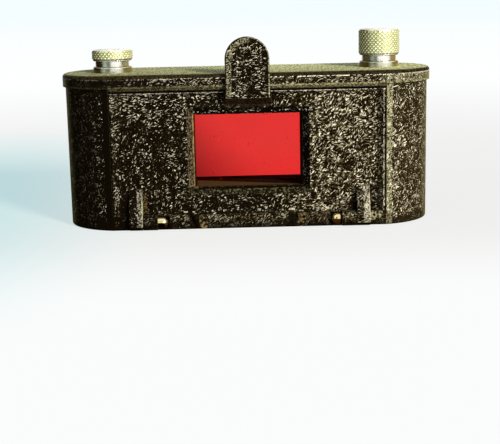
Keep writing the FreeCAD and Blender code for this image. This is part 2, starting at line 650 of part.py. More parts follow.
def bushing_nut(x):
    """A thin round nut with two spanner slots."""
    slot_half_width = 0.7
    slot_height = 0.8
    slot_reach = 1.3
    nut = rod_z(NUT_Z, NUT_RADIUS, x)
    bore = rod_z(grown(NUT_Z, PAST), BUSHING_SHANK_RADIUS + SCREW_GAP, x)
    slots = block(grown((x, x), NUT_RADIUS + PAST), (-slot_half_width, slot_half_width),
                  (NUT_Z[0] - PAST, NUT_Z[0] + slot_height))
    slots = slots.cut(rod_z(grown(NUT_Z, PAST), NUT_RADIUS - slot_reach, x))
    return nut.cut([bore, slots])


def brake_washer(x):
    """The spring washer that keeps a knob from turning by itself."""
    bore = rod_z(grown(WASHER_Z, PAST), SPINDLE_RADIUS + SEAT_GAP, x)
    return rod_z(WASHER_Z, SPINDLE_FLANGE_RADIUS, x).cut(bore)


def lid_grip_springs():
    """Two bent strips under the lid whose legs grip the walls of the pocket in the case."""
    strips = []
    y = grown(TOP_POCKET_Y, -GRIP_SIDE_GAP)
    leg_z = (GRIP_LEG_BOTTOM, LID_PLATE_UNDERSIDE)
    for centre in (-GRIP_X, GRIP_X):
        x = grown((centre, centre), GRIP_HALF_WIDTH)
        bridge = block(x, y, (LID_PLATE_UNDERSIDE - GRIP_THICKNESS, LID_PLATE_UNDERSIDE))
        front_leg = block(x, (y[0], y[0] + GRIP_THICKNESS), leg_z)
        rear_leg = block(x, (y[1] - GRIP_THICKNESS, y[1]), leg_z)
        strips.append(joined(bridge, front_leg, rear_leg))
    return strips


# ---- Knobs ----------------------------------------------------------------------------------------

def knob(x, knob_top):
    """A winding knob: a wide upper drum on a narrower neck, bored for its spindle and its screw."""
    drum = rod_z((KNURL_BOTTOM, knob_top), KNURL_RADIUS, x)
    low_rim = edges_at(drum, lambda centre, edge: centre.z < KNURL_BOTTOM + 0.01 and edge.Length > KNURL_RADIUS)
    drum = drum.makeChamfer(KNURL_LOW_CHAMFER, low_rim)
    high_rim = edges_at(drum, lambda centre, edge: centre.z > knob_top - 0.01 and edge.Length > KNURL_RADIUS)
    drum = drum.makeChamfer(KNURL_HIGH_CHAMFER, high_rim)
    neck = rod_z((KNOB_BOTTOM, KNURL_BOTTOM + KNURL_LOW_CHAMFER), NECK_RADIUS, x)
    bore = rod_z((KNOB_BOTTOM - PAST, knob_top - KNOB_ROOF), SPINDLE_RADIUS + SCREW_GAP, x)
    seat = knob_screw_seat(knob_top)
    screw_hole = rod_z((knob_top - KNOB_ROOF - PAST, seat + PAST), KNOB_SCREW_RADIUS + SCREW_GAP, x)
    head_hole = rod_z((seat, knob_top + PAST), KNOB_SCREW_HEAD_RADIUS + 0.2, x)
    return joined(drum, neck).cut([bore, screw_hole, head_hole])


def knob_screw_seat(knob_top):
    """The height of the face that a knob's screw head rests on."""
    return knob_top - KNOB_ROOF + KNOB_SCREW_SEAT


def knob_screw(x, knob_top):
    """The slotted screw that holds a knob on its spindle."""
    slot_half_width = 0.25
    slot_depth = 0.6
    seat = knob_screw_seat(knob_top)
    head_top = seat + KNOB_SCREW_HEAD_HEIGHT
    head = rod_z((seat, head_top), KNOB_SCREW_HEAD_RADIUS, x)
    shank = rod_z((seat - KNOB_SCREW_LENGTH, seat), KNOB_SCREW_RADIUS, x)
    slot = block(grown((x, x), KNOB_SCREW_HEAD_RADIUS + PAST), (-slot_half_width, slot_half_width),
                 (head_top - slot_depth, head_top + PAST))
    return joined(head, shank).cut(slot)


def spindle(x, knob_top):
    """The shaft from the knob to the spool, forked at its foot."""
    fork_chamfer = 0.4
    shaft = rod_z((SPINDLE_FLANGE_Z[0], knob_top - KNOB_ROOF), SPINDLE_RADIUS, x)
    flange = rod_z(SPINDLE_FLANGE_Z, SPINDLE_FLANGE_RADIUS, x)
    fork = rod_z((FORK_TIP_Z, SPINDLE_FLANGE_Z[0]), FORK_RADIUS, x)
    fork = fork.makeChamfer(fork_chamfer, edges_at(fork, lambda centre, edge: centre.z < FORK_TIP_Z + 0.01))
    slot = block(grown((x, x), FORK_SLOT / 2), (-FORK_RADIUS - PAST, FORK_RADIUS + PAST),
                 (FORK_TIP_Z - PAST, FORK_TIP_Z + FORK_SLOT_DEPTH))
    seat = knob_screw_seat(knob_top)
    thread = rod_z((seat - KNOB_SCREW_LENGTH - SEAT_GAP, seat + PAST), KNOB_SCREW_RADIUS + SCREW_GAP, x)
    return joined(shaft, flange, fork).cut([slot, thread])


# ---- Spools ---------------------------------------------------------------------------------------

def spool_core(x):
    """The hub that the film winds on, with a driving web for the fork and a bore for the pivot."""
    core = rod_z((SPOOL_BOTTOM, CORE_TOP), SPOOL_CORE_RADIUS, x)
    socket_floor = FORK_TIP_Z - 0.6
    socket = rod_z((socket_floor, CORE_TOP + PAST), FORK_RADIUS + LUG_SIDE_GAP, x)
    pivot_bore = rod_z((SPOOL_BOTTOM - PAST, SPOOL_BOTTOM + PIVOT_HEIGHT + 0.5), SPINDLE_RADIUS + RUNNING_GAP, x)
    web = block(grown((x, x), SPOOL_WEB / 2), (-FORK_RADIUS - PAST, FORK_RADIUS + PAST),
                (socket_floor - 0.5, socket_floor + 3.0))
    return joined(core.cut([socket, pivot_bore]), web)


def spool_flanges(x):
    """The two rims that guide the film's edges."""
    edge_round = 0.3
    lower = (SPOOL_BOTTOM, SPOOL_BOTTOM + SPOOL_FLANGE_THICKNESS)
    upper = (FILM_TOP + 0.05, FILM_TOP + 0.05 + SPOOL_FLANGE_THICKNESS)
    rings = []
    for z in (lower, upper):
        ring = rod_z(z, SPOOL_FLANGE_RADIUS, x).cut(rod_z(grown(z, PAST), SPOOL_CORE_RADIUS, x))
        rim = edges_at(ring, lambda centre, edge: edge.Length > 7.0 * SPOOL_CORE_RADIUS)
        rings.append(ring.makeFillet(edge_round, rim))
    return rings


def film_clip(x):
    """A springy band on the take-up core that holds the film's end."""
    thickness = 0.3
    z = grown((PICTURE_Z, PICTURE_Z), 7.3)
    band = rod_z(z, SPOOL_CORE_RADIUS + thickness, x).cut(rod_z(grown(z, PAST), SPOOL_CORE_RADIUS, x))
    rear_part = block(grown((x, x), SPOOL_CORE_RADIUS + PAST), (0.8, SPOOL_CORE_RADIUS + PAST), z)
    return band.common(rear_part)


def spool_pivot(x):
    """The stud on the chamber floor that a spool turns on."""
    tip_top = SPOOL_BOTTOM + PIVOT_HEIGHT
    foot = rod_z((CHAMBER_FLOOR, CHAMBER_FLOOR + 1.2), 5.5, x)
    shoulder = rod_z((CHAMBER_FLOOR, SPOOL_BOTTOM - SCREW_GAP), 4.0, x)
    tip = rod_z((CHAMBER_FLOOR, tip_top), SPINDLE_RADIUS, x)
    tip = tip.makeChamfer(0.6, edges_at(tip, lambda centre, edge: centre.z > tip_top - 0.01))
    return joined(foot, shoulder, tip)


# ---- Build ----------------------------------------------------------------------------------------

def build_side(side, sign, knob_top):
    """The hinge parts, the knob with its drive and the spool on one side."""
    x = sign * CHAMBER_X
    degrees = 0 if sign > 0 else 180
    for name, shape in (("_hinge_pin", hinge_pin()), ("_hinge_spring", hinge_spring())):
        shape.rotate(V(0, HINGE_Y, 0), V(0, 0, 1), degrees)
        save(side + name, shape)
    save(side + "_bushing", bushing(x))
    save(side + "_bushing_nut", bushing_nut(x))
    save(side + "_brake_washer", brake_washer(x))
    save(side + "_knob", knob(x, knob_top))
    save(side + "_knob_screw", knob_screw(x, knob_top))
    save(side + "_spindle", spindle(x, knob_top))
    save(side + "_spool_core", spool_core(x))
    save(side + "_spool_flanges", *spool_flanges(x))
    save(side + "_spool_pivot", spool_pivot(x))


def build():
    os.makedirs("parts", exist_ok=True)
    save("case_body", case_body())
    save("film_gate", film_gate())
    save("film_gate_screws", *gate_screws())
    save("gate_glass", slab(GATE_GLASS, GATE_SEAT_Y))
    save("rear_window_glass", slab(REAR_GLASS, REAR_GLASS_Y))
    save("rear_window_frame", rear_window_frame())
    save("rear_frame_screws", *rear_frame_screws())
    save("door_light_seal", door_seal())

    save("door_panel", door_panel())
    save("red_filter_glass", red_filter_glass())
    save("pressure_frame", pressure_frame())
    save("pressure_frame_studs", *pressure_frame_studs())
    save("pressure_springs", *pressure_springs())

    save("lid_cover", lid_cover())
    save("lid_grip_springs", *lid_grip_springs())
    save("take_up_film_clip", film_clip(CHAMBER_X))
    build_side("left", -1, LEFT_KNOB_TOP)
    build_side("right", 1, RIGHT_KNOB_TOP)


build()
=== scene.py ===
import bmesh
import bpy
import math
from mathutils import Matrix, Vector


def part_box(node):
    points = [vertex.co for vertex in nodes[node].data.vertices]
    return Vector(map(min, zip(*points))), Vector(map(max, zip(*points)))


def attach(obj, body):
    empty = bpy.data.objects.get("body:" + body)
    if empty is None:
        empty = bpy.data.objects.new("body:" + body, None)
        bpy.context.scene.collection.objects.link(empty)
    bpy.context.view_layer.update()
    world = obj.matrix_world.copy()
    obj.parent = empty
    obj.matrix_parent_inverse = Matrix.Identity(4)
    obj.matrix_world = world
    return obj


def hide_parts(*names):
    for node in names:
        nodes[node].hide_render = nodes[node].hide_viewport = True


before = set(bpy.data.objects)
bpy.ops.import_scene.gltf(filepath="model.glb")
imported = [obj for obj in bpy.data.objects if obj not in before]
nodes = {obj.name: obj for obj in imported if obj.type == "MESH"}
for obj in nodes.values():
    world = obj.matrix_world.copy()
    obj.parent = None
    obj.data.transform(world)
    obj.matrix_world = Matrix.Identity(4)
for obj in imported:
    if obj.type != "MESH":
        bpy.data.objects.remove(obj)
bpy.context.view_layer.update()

# The looks of a contact duplicator for 35 mm film: black wrinkle lacquer, knurled nickel knobs, a red window.
#
# Lengths are in millimetres and become metres with MM. X runs to the right, Y to the rear and Z up.
# Where something lies on a piece is written as runs and spans. A run is the pair of values between which a
# mask turns from one share to another. A span is the pair of values between which a mask is full.

MM = 0.001


# ---- Material building ---------------------------------------------

NOISE_MIDDLE = 0.5
NOISE_RUN = (0.3, 0.7)
SHADER_SAMPLES = 6


class Paint:
    """A node-based material being put together. Its place is in millimetres, in the object's frame."""

    def __init__(self, name):
        self.material = bpy.data.materials.new(name)
        self.material.use_nodes = True
        self.open_tree(self.material.node_tree, "Principled BSDF")
        coordinates = self.add("ShaderNodeTexCoord")
        self.place = self.vector("SCALE", coordinates.outputs["Object"], scale=1.0 / MM)
        parts = self.add("ShaderNodeSeparateXYZ")
        self.put(parts.inputs[0], self.place)
        self.x, self.y, self.z = parts.outputs

    def open_tree(self, tree, shader_name):
        self.nodes = tree.nodes
        self.links = tree.links
        self.shader = self.nodes[shader_name]

    def add(self, kind, **settings):
        node = self.nodes.new(kind)
        for name, value in settings.items():
            setattr(node, name, value)
        return node

    def put(self, socket, value):
        if isinstance(value, bpy.types.NodeSocket):
            self.links.new(value, socket)
        elif isinstance(value, tuple) and socket.type == "RGBA":
            socket.default_value = (*value, 1.0)
        else:
            socket.default_value = value

    # Sums

    def math(self, operation, *values, clamp=False):
        node = self.add("ShaderNodeMath", operation=operation, use_clamp=clamp)
        for socket, value in zip(node.inputs, values):
            self.put(socket, value)
        return node.outputs[0]

    def plus(self, first, second):
        return self.math("ADD", first, second)

    def minus(self, first, second):
        return self.math("SUBTRACT", first, second)

    def times(self, *values):
        result = values[0]
        for value in values[1:]:
            result = self.math("MULTIPLY", result, value)
        return result

    def most(self, *values):
        result = values[0]
        for value in values[1:]:
            result = self.math("MAXIMUM", result, value)
        return result

    def without(self, share):
        """What is left of 1."""
        return self.math("SUBTRACT", 1.0, share, clamp=True)

    def distance(self, first, second):
        """How far off a point is that lies first along one axis and second along another."""
        return self.math("SQRT", self.plus(self.times(first, first), self.times(second, second)))

    def vector(self, operation, *values, scale=None):
        node = self.add("ShaderNodeVectorMath", operation=operation)
        for socket, value in zip(node.inputs, values):
            self.put(socket, value)
        if scale is not None:
            self.put(node.inputs["Scale"], scale)
        return node.outputs["Value" if operation in ("LENGTH", "DOT_PRODUCT") else "Vector"]

    # Masks

    def step(self, value, run, shares=(0.0, 1.0)):
        """Turns smoothly from the first share to the second while value goes along the run."""
        node = self.add("ShaderNodeMapRange", interpolation_type="SMOOTHSTEP")
        for socket, setting in zip(node.inputs, (value, *run, *shares)):
            self.put(socket, setting)
        return node.outputs[0]

    def either(self, mask, outside, inside):
        """One value where the mask is 0 and the other where it is 1."""
        return self.step(mask, (0.0, 1.0), (outside, inside))

    def band(self, value, span, soft):
        """1 where value lies within the span, fading over soft at both ends."""
        low, high = span
        return self.times(self.step(value, (low - soft, low)), self.step(value, (high + soft, high)))

    def bands(self, value, spans, soft):
        return self.most(*[self.band(value, span, soft) for span in spans])

    # Places and textures

    def scaled(self, scale):
        """The place scaled along each axis: a scale below 1 draws a texture out along that axis."""
        return self.vector("MULTIPLY", self.place, scale)

    def drawn_out(self, place, angle, along, offset):
        """The place for a texture drawn out along a line at an angle to the X axis on an upright face."""
        turned = self.add("ShaderNodeMapping", vector_type="POINT")
        self.put(turned.inputs["Vector"], place)
        turned.inputs["Rotation"].default_value = (0.0, math.radians(angle), 0.0)
        turned.inputs["Location"].default_value = offset
        return self.vector("MULTIPLY", turned.outputs[0], (along, 1.0, 1.0))

    def warped(self, frequency, amount):
        """The place, pushed about by up to amount."""
        push = self.noise(frequency, 1.0, output="Color")
        push = self.vector("SUBTRACT", push, (NOISE_MIDDLE, NOISE_MIDDLE, NOISE_MIDDLE))
        return self.vector("ADD", self.place, self.vector("SCALE", push, scale=2.0 * amount))

    def noise(self, frequency, detail=2.0, roughness=0.5, place=None, offset=None, output="Fac"):
        """Smooth noise, mostly within NOISE_RUN; each offset gives another pattern of the same kind."""
        if offset is not None:
            place = self.vector("ADD", self.place, offset)
        node = self.add("ShaderNodeTexNoise")
        self.put(node.inputs["Vector"], self.place if place is None else place)
        self.put(node.inputs["Scale"], frequency)
        self.put(node.inputs["Detail"], detail)
        self.put(node.inputs["Roughness"], roughness)
        return node.outputs[output]

    def speckle(self, offset, frequency=1.9, run=(0.42, 0.60)):
        """Fine specks, 0 to 1; each offset gives another pattern."""
        return self.step(self.noise(frequency, 1.0, offset=offset), run)

    # Colours

    def mix(self, share, first, second):
        """The first colour where share is 0, the second where it is 1, by the node's sockets for colours."""
        node = self.add("ShaderNodeMix", data_type="RGBA", clamp_factor=True)
        self.put(node.inputs[0], share)
        self.put(node.inputs[6], first)
        self.put(node.inputs[7], second)
        return node.outputs[2]

    def lay(self, color, over, *shares):
        """The colour with another laid over it, by the product of the shares."""
        return self.mix(self.times(*shares), color, over)

    # Shape and light at a point

    def bump(self, height, distance, normal=None):
        """A normal from a height of 0 to 1, where 1 is distance millimetres up."""
        node = self.add("ShaderNodeBump")
        self.put(node.inputs["Height"], height)
        self.put(node.inputs["Distance"], distance * MM)
        if normal is not None:
            self.put(node.inputs["Normal"], normal)
        return node.outputs[0]

    def rounded(self, radius):
        """A normal that runs round the edges, as if each had that radius."""
        node = self.add("ShaderNodeBevel", samples=SHADER_SAMPLES)
        self.put(node.inputs["Radius"], radius * MM)
        return node.outputs[0]

    def edges(self, radius):
        """How near a sharp edge a point is: 0 on a flat face, up to about 0.3 on the edge."""
        geometry = self.add("ShaderNodeNewGeometry")
        return self.without(self.vector("DOT_PRODUCT", self.rounded(radius), geometry.outputs["Normal"]))

    def openness(self, reach):
        """1 on an open face, towards 0 in a corner that something stands over within reach."""
        node = self.add("ShaderNodeAmbientOcclusion", samples=SHADER_SAMPLES)
        self.put(node.inputs["Distance"], reach * MM)
        return node.outputs["AO"]

    def grazing(self, run=(0.52, 0.90)):
        """The sheen of a face: towards 1 where it is seen almost edge on."""
        return self.step(self.add("ShaderNodeLayerWeight").outputs["Facing"], run)

    def ray(self, kind):
        """1 for a ray of this kind."""
        return self.add("ShaderNodeLightPath").outputs[kind]

    def mirror_ray(self):
        """1 for a ray mirrored by a shiny face; a ray through glass counts as glossy too, and is left out."""
        return self.times(self.ray("Is Glossy Ray"), self.without(self.ray("Is Transmission Ray")))

    def glass_ray(self):
        """1 for a ray from the camera through glass; light that goes through it onto a face is left out."""
        return self.times(self.ray("Is Transmission Ray"), self.without(self.ray("Diffuse Depth")))

    def finish(self, color, roughness, metallic, normal=None, **constants):
        for name, value in (("Base Color", color), ("Roughness", roughness), ("Metallic", metallic)):
            self.put(self.shader.inputs[name], value)
        if normal is not None:
            self.put(self.shader.inputs["Normal"], normal)
        for name, value in constants.items():
            self.put(self.shader.inputs[name.replace("_", " ").title().replace("Ior", "IOR")], value)
        return self.material


# ---- Lacquer: colours and wrinkles ---------------------------------

# Painted highlight: the colour of the wrinkles' crests where they catch the light.
PALE_GLINT = (0.93, 0.87, 0.70)
FLANK = (0.075, 0.053, 0.017)
GROUND = (0.0040, 0.0024, 0.0006)
# Painted highlight: yellow laid where edges and patches catch the light.
YELLOW_GLINT = (0.80, 0.75, 0.44)
# Worn brass, also laid as a painted highlight where brass edges and bosses catch the light.
WORN_BRASS_AND_GLINT = (0.42, 0.29, 0.11)
OLIVE_SHEEN = (0.27, 0.24, 0.095)
BROWN_SHEEN = (0.20, 0.135, 0.045)

STROKES_PER_MM = 3.45
STROKE_STRETCH = 0.23
SLANTING_STROKES = (58.0, (3.1, 7.7, 1.9))
LEVEL_STROKES = (12.0, (12.4, 3.6, 7.4))
WINDINGS_PER_MM = 0.35
WINDING_REACH = 1.2
LEVEL_RUN = (0.45, 0.57)
PATCHINESS = 0.38
THINNING = 0.10
CREST_RUN = (0.57, 0.65)
FLANK_RUN = (0.46, 0.56)
FLECK_RUN = (0.35, 0.65)
CORNER_REACH = 6.0
CORNER_RUN = (0.60, 0.97)

WRINKLE_DEPTH = 0.25
LACQUER_EDGE_RADIUS = 0.25
LACQUER_ROUGHNESS = 0.42
LACQUER_SPECULAR = 0.02


def wrinkle(paint, fullness, level_bias=0.0):
    """Wrinkle lacquer: winding strokes of raised lacquer. Returns their height, about 0.3 to 0.7.
    fullness below 1 lowers them, so fewer show as pale crests: callers set it by place as painted light and
    shade; level_bias turns more of them level."""
    place = paint.warped(WINDINGS_PER_MM, WINDING_REACH)
    slanting, level = [
        paint.noise(STROKES_PER_MM, 0.5, place=paint.drawn_out(place, angle, STROKE_STRETCH, offset))
        for angle, offset in (SLANTING_STROKES, LEVEL_STROKES)]
    where = paint.noise(0.18, 2.0, 0.6, offset=(40.0, 0.0, 0.0))
    level_share = paint.step(paint.plus(where, level_bias), LEVEL_RUN)
    height = paint.plus(paint.times(slanting, paint.without(level_share)), paint.times(level, level_share))
    patch = paint.noise(0.42, 2.0, 0.6, offset=(0.0, 30.0, 9.0))
    height = paint.plus(height, paint.times(paint.minus(patch, NOISE_MIDDLE), PATCHINESS))
    return paint.plus(height, paint.times(paint.minus(fullness, 1.0), THINNING))


def lacquer_color(paint, height, painted_light, flank_share):
    """Pale crests painted in as glints of the light, unevenly bright, with olive flanks over a nearly black
    ground; painted shade darkens both in corners.
    """
    fleck = paint.step(paint.noise(1.3, 1.0, offset=(5.0, 3.0, 19.0)), FLECK_RUN, (0.35, 1.0))
    # Painted shade: crests and flanks darken where something stands over them within CORNER_REACH.
    out_of_corner_shade = paint.step(paint.openness(CORNER_REACH), CORNER_RUN, (0.06, 1.0))
    crest = paint.times(paint.step(height, CREST_RUN), fleck, painted_light, out_of_corner_shade)
    flank = paint.times(paint.step(height, FLANK_RUN), flank_share, out_of_corner_shade)
    return paint.mix(crest, paint.mix(flank, GROUND, FLANK), PALE_GLINT)


def lacquer_normal(paint, height):
    return paint.bump(height, WRINKLE_DEPTH, paint.rounded(LACQUER_EDGE_RADIUS))


JOINT_LIT = ((0.045, 0.035, 0.012), (0.38, 0.35, 0.19))
JOINT_UNLIT = ((0.012, 0.008, 0.003), (0.12, 0.09, 0.055))
JOINT_SHADED = ((0.006, 0.004, 0.001), (0.045, 0.036, 0.016))


def joint_colors(paint, lit):
    """The smoother lacquer along the joint of lid and case, in painted light: olive where lit, else brown;
    painted shade at the left.
    """
    grain = paint.step(paint.noise(1.6, 2.0, 0.6, offset=(8.0, 0.0, 2.0)), (0.38, 0.64))
    rightward = paint.plus(paint.step(paint.x, (-47.0, -44.5), (0.0, 0.22)),
                           paint.step(paint.x, (-40.0, 22.0), (0.0, 0.78)))
    color = paint.mix(lit, paint.mix(grain, *JOINT_UNLIT), paint.mix(grain, *JOINT_LIT))
    return paint.mix(rightward, paint.mix(grain, *JOINT_SHADED), color)


# ---- Lacquer of the case -------------------------------------------

KNOB_AXIS_X = 45.85
SOFT = 0.3
FRONT_RUN = (-15.0, -16.0)
REAR_RUN = (0.0, 12.0)
LEFT_END_RUN = (-54.0, -44.0)
LEFT_BACK_RUN = (-57.0, -62.0)
SHADOW_LEFT_OF_DOOR = (-48.3, -45.8)
LIT_RIGHT_OF_DOOR = (46.4, 48.1)
ALONG_DOOR = (-46.2, 46.2)

RAIL_TOP_RUN = (5.3, 4.9)
RAIL_END_RUN = (48.0, 46.5)
RAIL_DIM_RUN = (-32.0, -28.0)
SHADE_BESIDE_BOSSES = ((-20.4, -17.4), (13.2, 16.0))
BOSS_LIT_SIDES = ((-17.0, -14.8), (16.6, 18.8))
RAIL_LIT_PATCH = (40.9, 44.8)

STRIP_FRONT_RUN = (-17.2, -17.4)
STRIP_FOOT_RUN = (46.7, 46.95)
STRIP_SHADE_RUN = (47.15, 47.0)
STRIP_OLIVE_RUN = (47.35, 47.6)

CHAMBER_RADIUS_RUN = (13.9, 13.5)
CHAMBER_Z = (2.9, 51.0)
CHANNEL_X = (-46.0, 46.0)
CHANNEL_Y = (-14.5, 16.6)
CHANNEL_Z = (5.0, 50.9)
MATT_BLACK = ((0.004, 0.004, 0.004), (0.010, 0.009, 0.008))
MATT_ROUGHNESS = 0.8


def case_wrinkles(paint, height, rail, in_front):
    """The wrinkles outside: painted shade at the left end and a painted shadow left of the door, dimmer on
    the rail, with a sheen where seen edge on.
    """
    # Painted light: dimmer crests and fewer flanks towards the left end, eased at the far left and the rear.
    painted_light = paint.most(paint.step(paint.x, LEFT_END_RUN, (0.12, 1.0)),
                            paint.step(paint.x, LEFT_BACK_RUN, (0.0, 0.5)),
                            paint.step(paint.y, REAR_RUN, (0.0, 0.8)))
    flanks = paint.most(paint.step(paint.x, (-54.0, 30.0), (0.12, 1.0)),
                        paint.step(paint.y, REAR_RUN, (0.0, 0.6)))
    rail_light = paint.times(paint.either(rail, 1.0, 0.5),
                             paint.step(paint.times(rail, paint.x), RAIL_DIM_RUN, (0.7, 1.0)))
    color = lacquer_color(paint, height, paint.times(painted_light, rail_light), flanks)
    # Painted shadow cast by the door's left edge on the case.
    color = paint.lay(color, GROUND, in_front, paint.band(paint.x, SHADOW_LEFT_OF_DOOR, SOFT))
    color = paint.lay(color, OLIVE_SHEEN, paint.grazing(), 0.5, paint.step(height, (0.40, 0.56), (0.4, 1.0)))
    return paint.lay(color, BROWN_SHEEN, paint.step(paint.x, (48.0, 50.0), (0.0, 0.05)))


def rail_colors(paint, color, rail):
    """The rail below the door: painted shade beside its two bosses, worn brass with a painted highlight on
    their right sides, a painted lit patch at the right.
    """
    color = paint.lay(color, GROUND, rail, paint.bands(paint.x, SHADE_BESIDE_BOSSES, SOFT), 0.9)
    worn = paint.step(paint.noise(0.8, 1.0, offset=(2.0, 6.0, 0.0)), (0.46, 0.60))
    # Painted highlight, in worn brass, on the bosses' right sides.
    color = paint.lay(color, WORN_BRASS_AND_GLINT, rail, paint.bands(paint.x, BOSS_LIT_SIDES, SOFT), worn, 0.45)
    lit = paint.times(rail, paint.band(paint.x, RAIL_LIT_PATCH, SOFT), paint.step(paint.z, (1.6, 2.2)))
    return paint.lay(color, YELLOW_GLINT, lit, paint.speckle((9.0, 1.0, 4.0), 1.1), 0.40)


def inside_of_case(paint):
    """1 in the two round film chambers and in the channel between them."""
    from_axis = paint.distance(paint.minus(paint.math("ABSOLUTE", paint.x), KNOB_AXIS_X), paint.y)
    chambers = paint.times(paint.step(from_axis, CHAMBER_RADIUS_RUN), paint.band(paint.z, CHAMBER_Z, 0.05))
    channel = paint.times(paint.band(paint.x, CHANNEL_X, 0.2), paint.band(paint.y, CHANNEL_Y, 0.1),
                          paint.band(paint.z, CHANNEL_Z, 0.05))
    return paint.most(chambers, channel)


def case_lacquer():
    """Wrinkle lacquer, matt black in the film chambers and channel, smooth along the door's top edge; with
    painted light and shade on the outside.
    """
    paint = Paint("wrinkle_lacquer_case")
    in_front = paint.step(paint.y, FRONT_RUN)
    rail = paint.times(paint.step(paint.z, RAIL_TOP_RUN), paint.step(paint.x, RAIL_END_RUN), in_front)
    # Painted shade: fewer pale strokes towards the left and at the right end.
    fullness = paint.minus(paint.step(paint.x, (-50.0, -10.0), (0.25, 1.0)),
                           paint.step(paint.x, (48.0, 51.0), (0.0, 0.35)))
    height = wrinkle(paint, fullness)
    color = case_wrinkles(paint, height, rail, in_front)
    # Painted highlight on the case just right of the door.
    color = paint.lay(color, YELLOW_GLINT, in_front, paint.band(paint.x, LIT_RIGHT_OF_DOOR, SOFT),
                      paint.speckle((1.0, 2.0, 40.0), 1.7, (0.36, 0.64)),
                      paint.step(paint.z, (2.0, 40.0), (0.24, 0.42)))
    color = rail_colors(paint, color, rail)
    strip = paint.times(paint.band(paint.x, ALONG_DOOR, SOFT), paint.step(paint.z, STRIP_FOOT_RUN),
                        paint.step(paint.y, STRIP_FRONT_RUN))
    # Painted light on the strip's olive top, painted shadow at its foot under the lid.
    olive = joint_colors(paint, paint.step(paint.z, STRIP_OLIVE_RUN))
    color = paint.mix(strip, color, paint.mix(paint.step(paint.z, STRIP_SHADE_RUN), olive, GROUND))
    inside = inside_of_case(paint)
    grain = paint.noise(1.5, 2.0, 0.6, place=paint.drawn_out(paint.place, 0.0, 0.6, (0.0, 4.0, 0.0)))
    color = paint.mix(inside, color, paint.mix(grain, *MATT_BLACK))
    height = paint.times(height, paint.without(inside), paint.without(strip))
    rough = paint.either(inside, LACQUER_ROUGHNESS, MATT_ROUGHNESS)
    return paint.finish(color, rough, 0.0, lacquer_normal(paint, height), specular_ior_level=LACQUER_SPECULAR)


# ---- Lacquer of the door -------------------------------------------

LEFT_MARGIN = (-45.7, -44.0)
RIGHT_MARGIN = (43.2, 45.1)
DOOR_LEFT_SHADOW_RUN = (-45.95, -45.75)
DOOR_RIGHTWARD_RUN = (0.0, 26.0)
DOOR_LEFTWARD_RUN = (0.0, -14.0)
DOOR_UPWARD_RUN = (33.0, 41.0)
RIGHT_EDGE = (45.3, 45.5)
RIGHT_SIDE_RUN = (45.65, 45.8)
TOP_EDGE_RUN = (46.0, 46.25)
LOW_ROW = (5.9, 6.4)

BEVEL_X = (-20.45, 20.45)
BEVEL_Z = (11.7, 40.9)
BEVEL_Y_RUN = (-17.02, -16.9)
BEVEL_LEFT_RUN = (-18.1, -18.4)
BEVEL_LOW_RUN = (14.2, 13.7)
BEVEL_LIT_ROW = (39.5, 39.9)
BEVEL_SHADE = (0.004, 0.0025, 0.001)
BEVEL_LEFT_LIT = ((0.010, 0.006, 0.002), (0.16, 0.125, 0.075))
BEVEL_LOW_LIT = ((0.006, 0.005, 0.002), (0.135, 0.115, 0.065))

TONGUE_FACE_RUN = (-17.55, -17.7)
TONGUE_PROUD_RUN = (-18.2, -18.6)
TONGUE_X = (-8.2, 8.2)
TONGUE_Z_RUN = (41.0, 41.3)
TONGUE_TOP_CENTRE_Z = 57.05
TONGUE_RADIUS = 7.35
TONGUE_FOOT_X = (-7.9, 7.9)
TONGUE_FOOT_Z = (41.3, 44.3)
TONGUE_FOOT_SHADE = ((0.009, 0.005, 0.0025), (0.034, 0.020, 0.010))

LUG_TOP_RUN = (14.3, 13.2)
LUG_FOOT_RUN = (1.4, 1.7)
LEFT_LUG_DARK_HALF = (-40.5, -38.2)
RIGHT_LUG_DARK_HALF = (36.3, 38.2)
LUG_LIT_HALVES = ((-38.0, -36.2), (38.4, 40.6))
LUG_LIT_EDGES = ((-36.45, -36.2), (40.35, 40.6))
RIGHT_LUG = (36.3, 40.6)
LUG_FOOT_LINE = (1.45, 1.8)
LEFT_OF_LEFT_LUG = (-43.4, -40.7)
LEFT_OF_RIGHT_LUG = (34.5, 36.1)
RIGHT_OF_RIGHT_LUG = (40.8, 44.6)
BROWN_RIGHT_OF_LEFT_LUG = (-36.1, -34.7)
LUG_BROWN = ((0.010, 0.006, 0.002), (0.13, 0.085, 0.035))


def door_wrinkles(paint, rightward, left_margin):
    """The door's wrinkles: level at the upper left and on the tongue; as painted light, many show pale at the
    right and along the left margin, and few elsewhere."""
    top_left = paint.times(paint.step(paint.x, DOOR_LEFTWARD_RUN), paint.step(paint.z, DOOR_UPWARD_RUN))
    on_tongue = paint.times(paint.step(paint.y, TONGUE_PROUD_RUN), paint.step(paint.z, (30.0, 40.0)))
    fullness = paint.most(paint.either(rightward, 0.30, 0.86), paint.times(top_left, 0.62),
                          paint.times(left_margin, 0.86), paint.times(on_tongue, 0.62))
    return wrinkle(paint, fullness, paint.times(paint.most(top_left, on_tongue), 0.12))


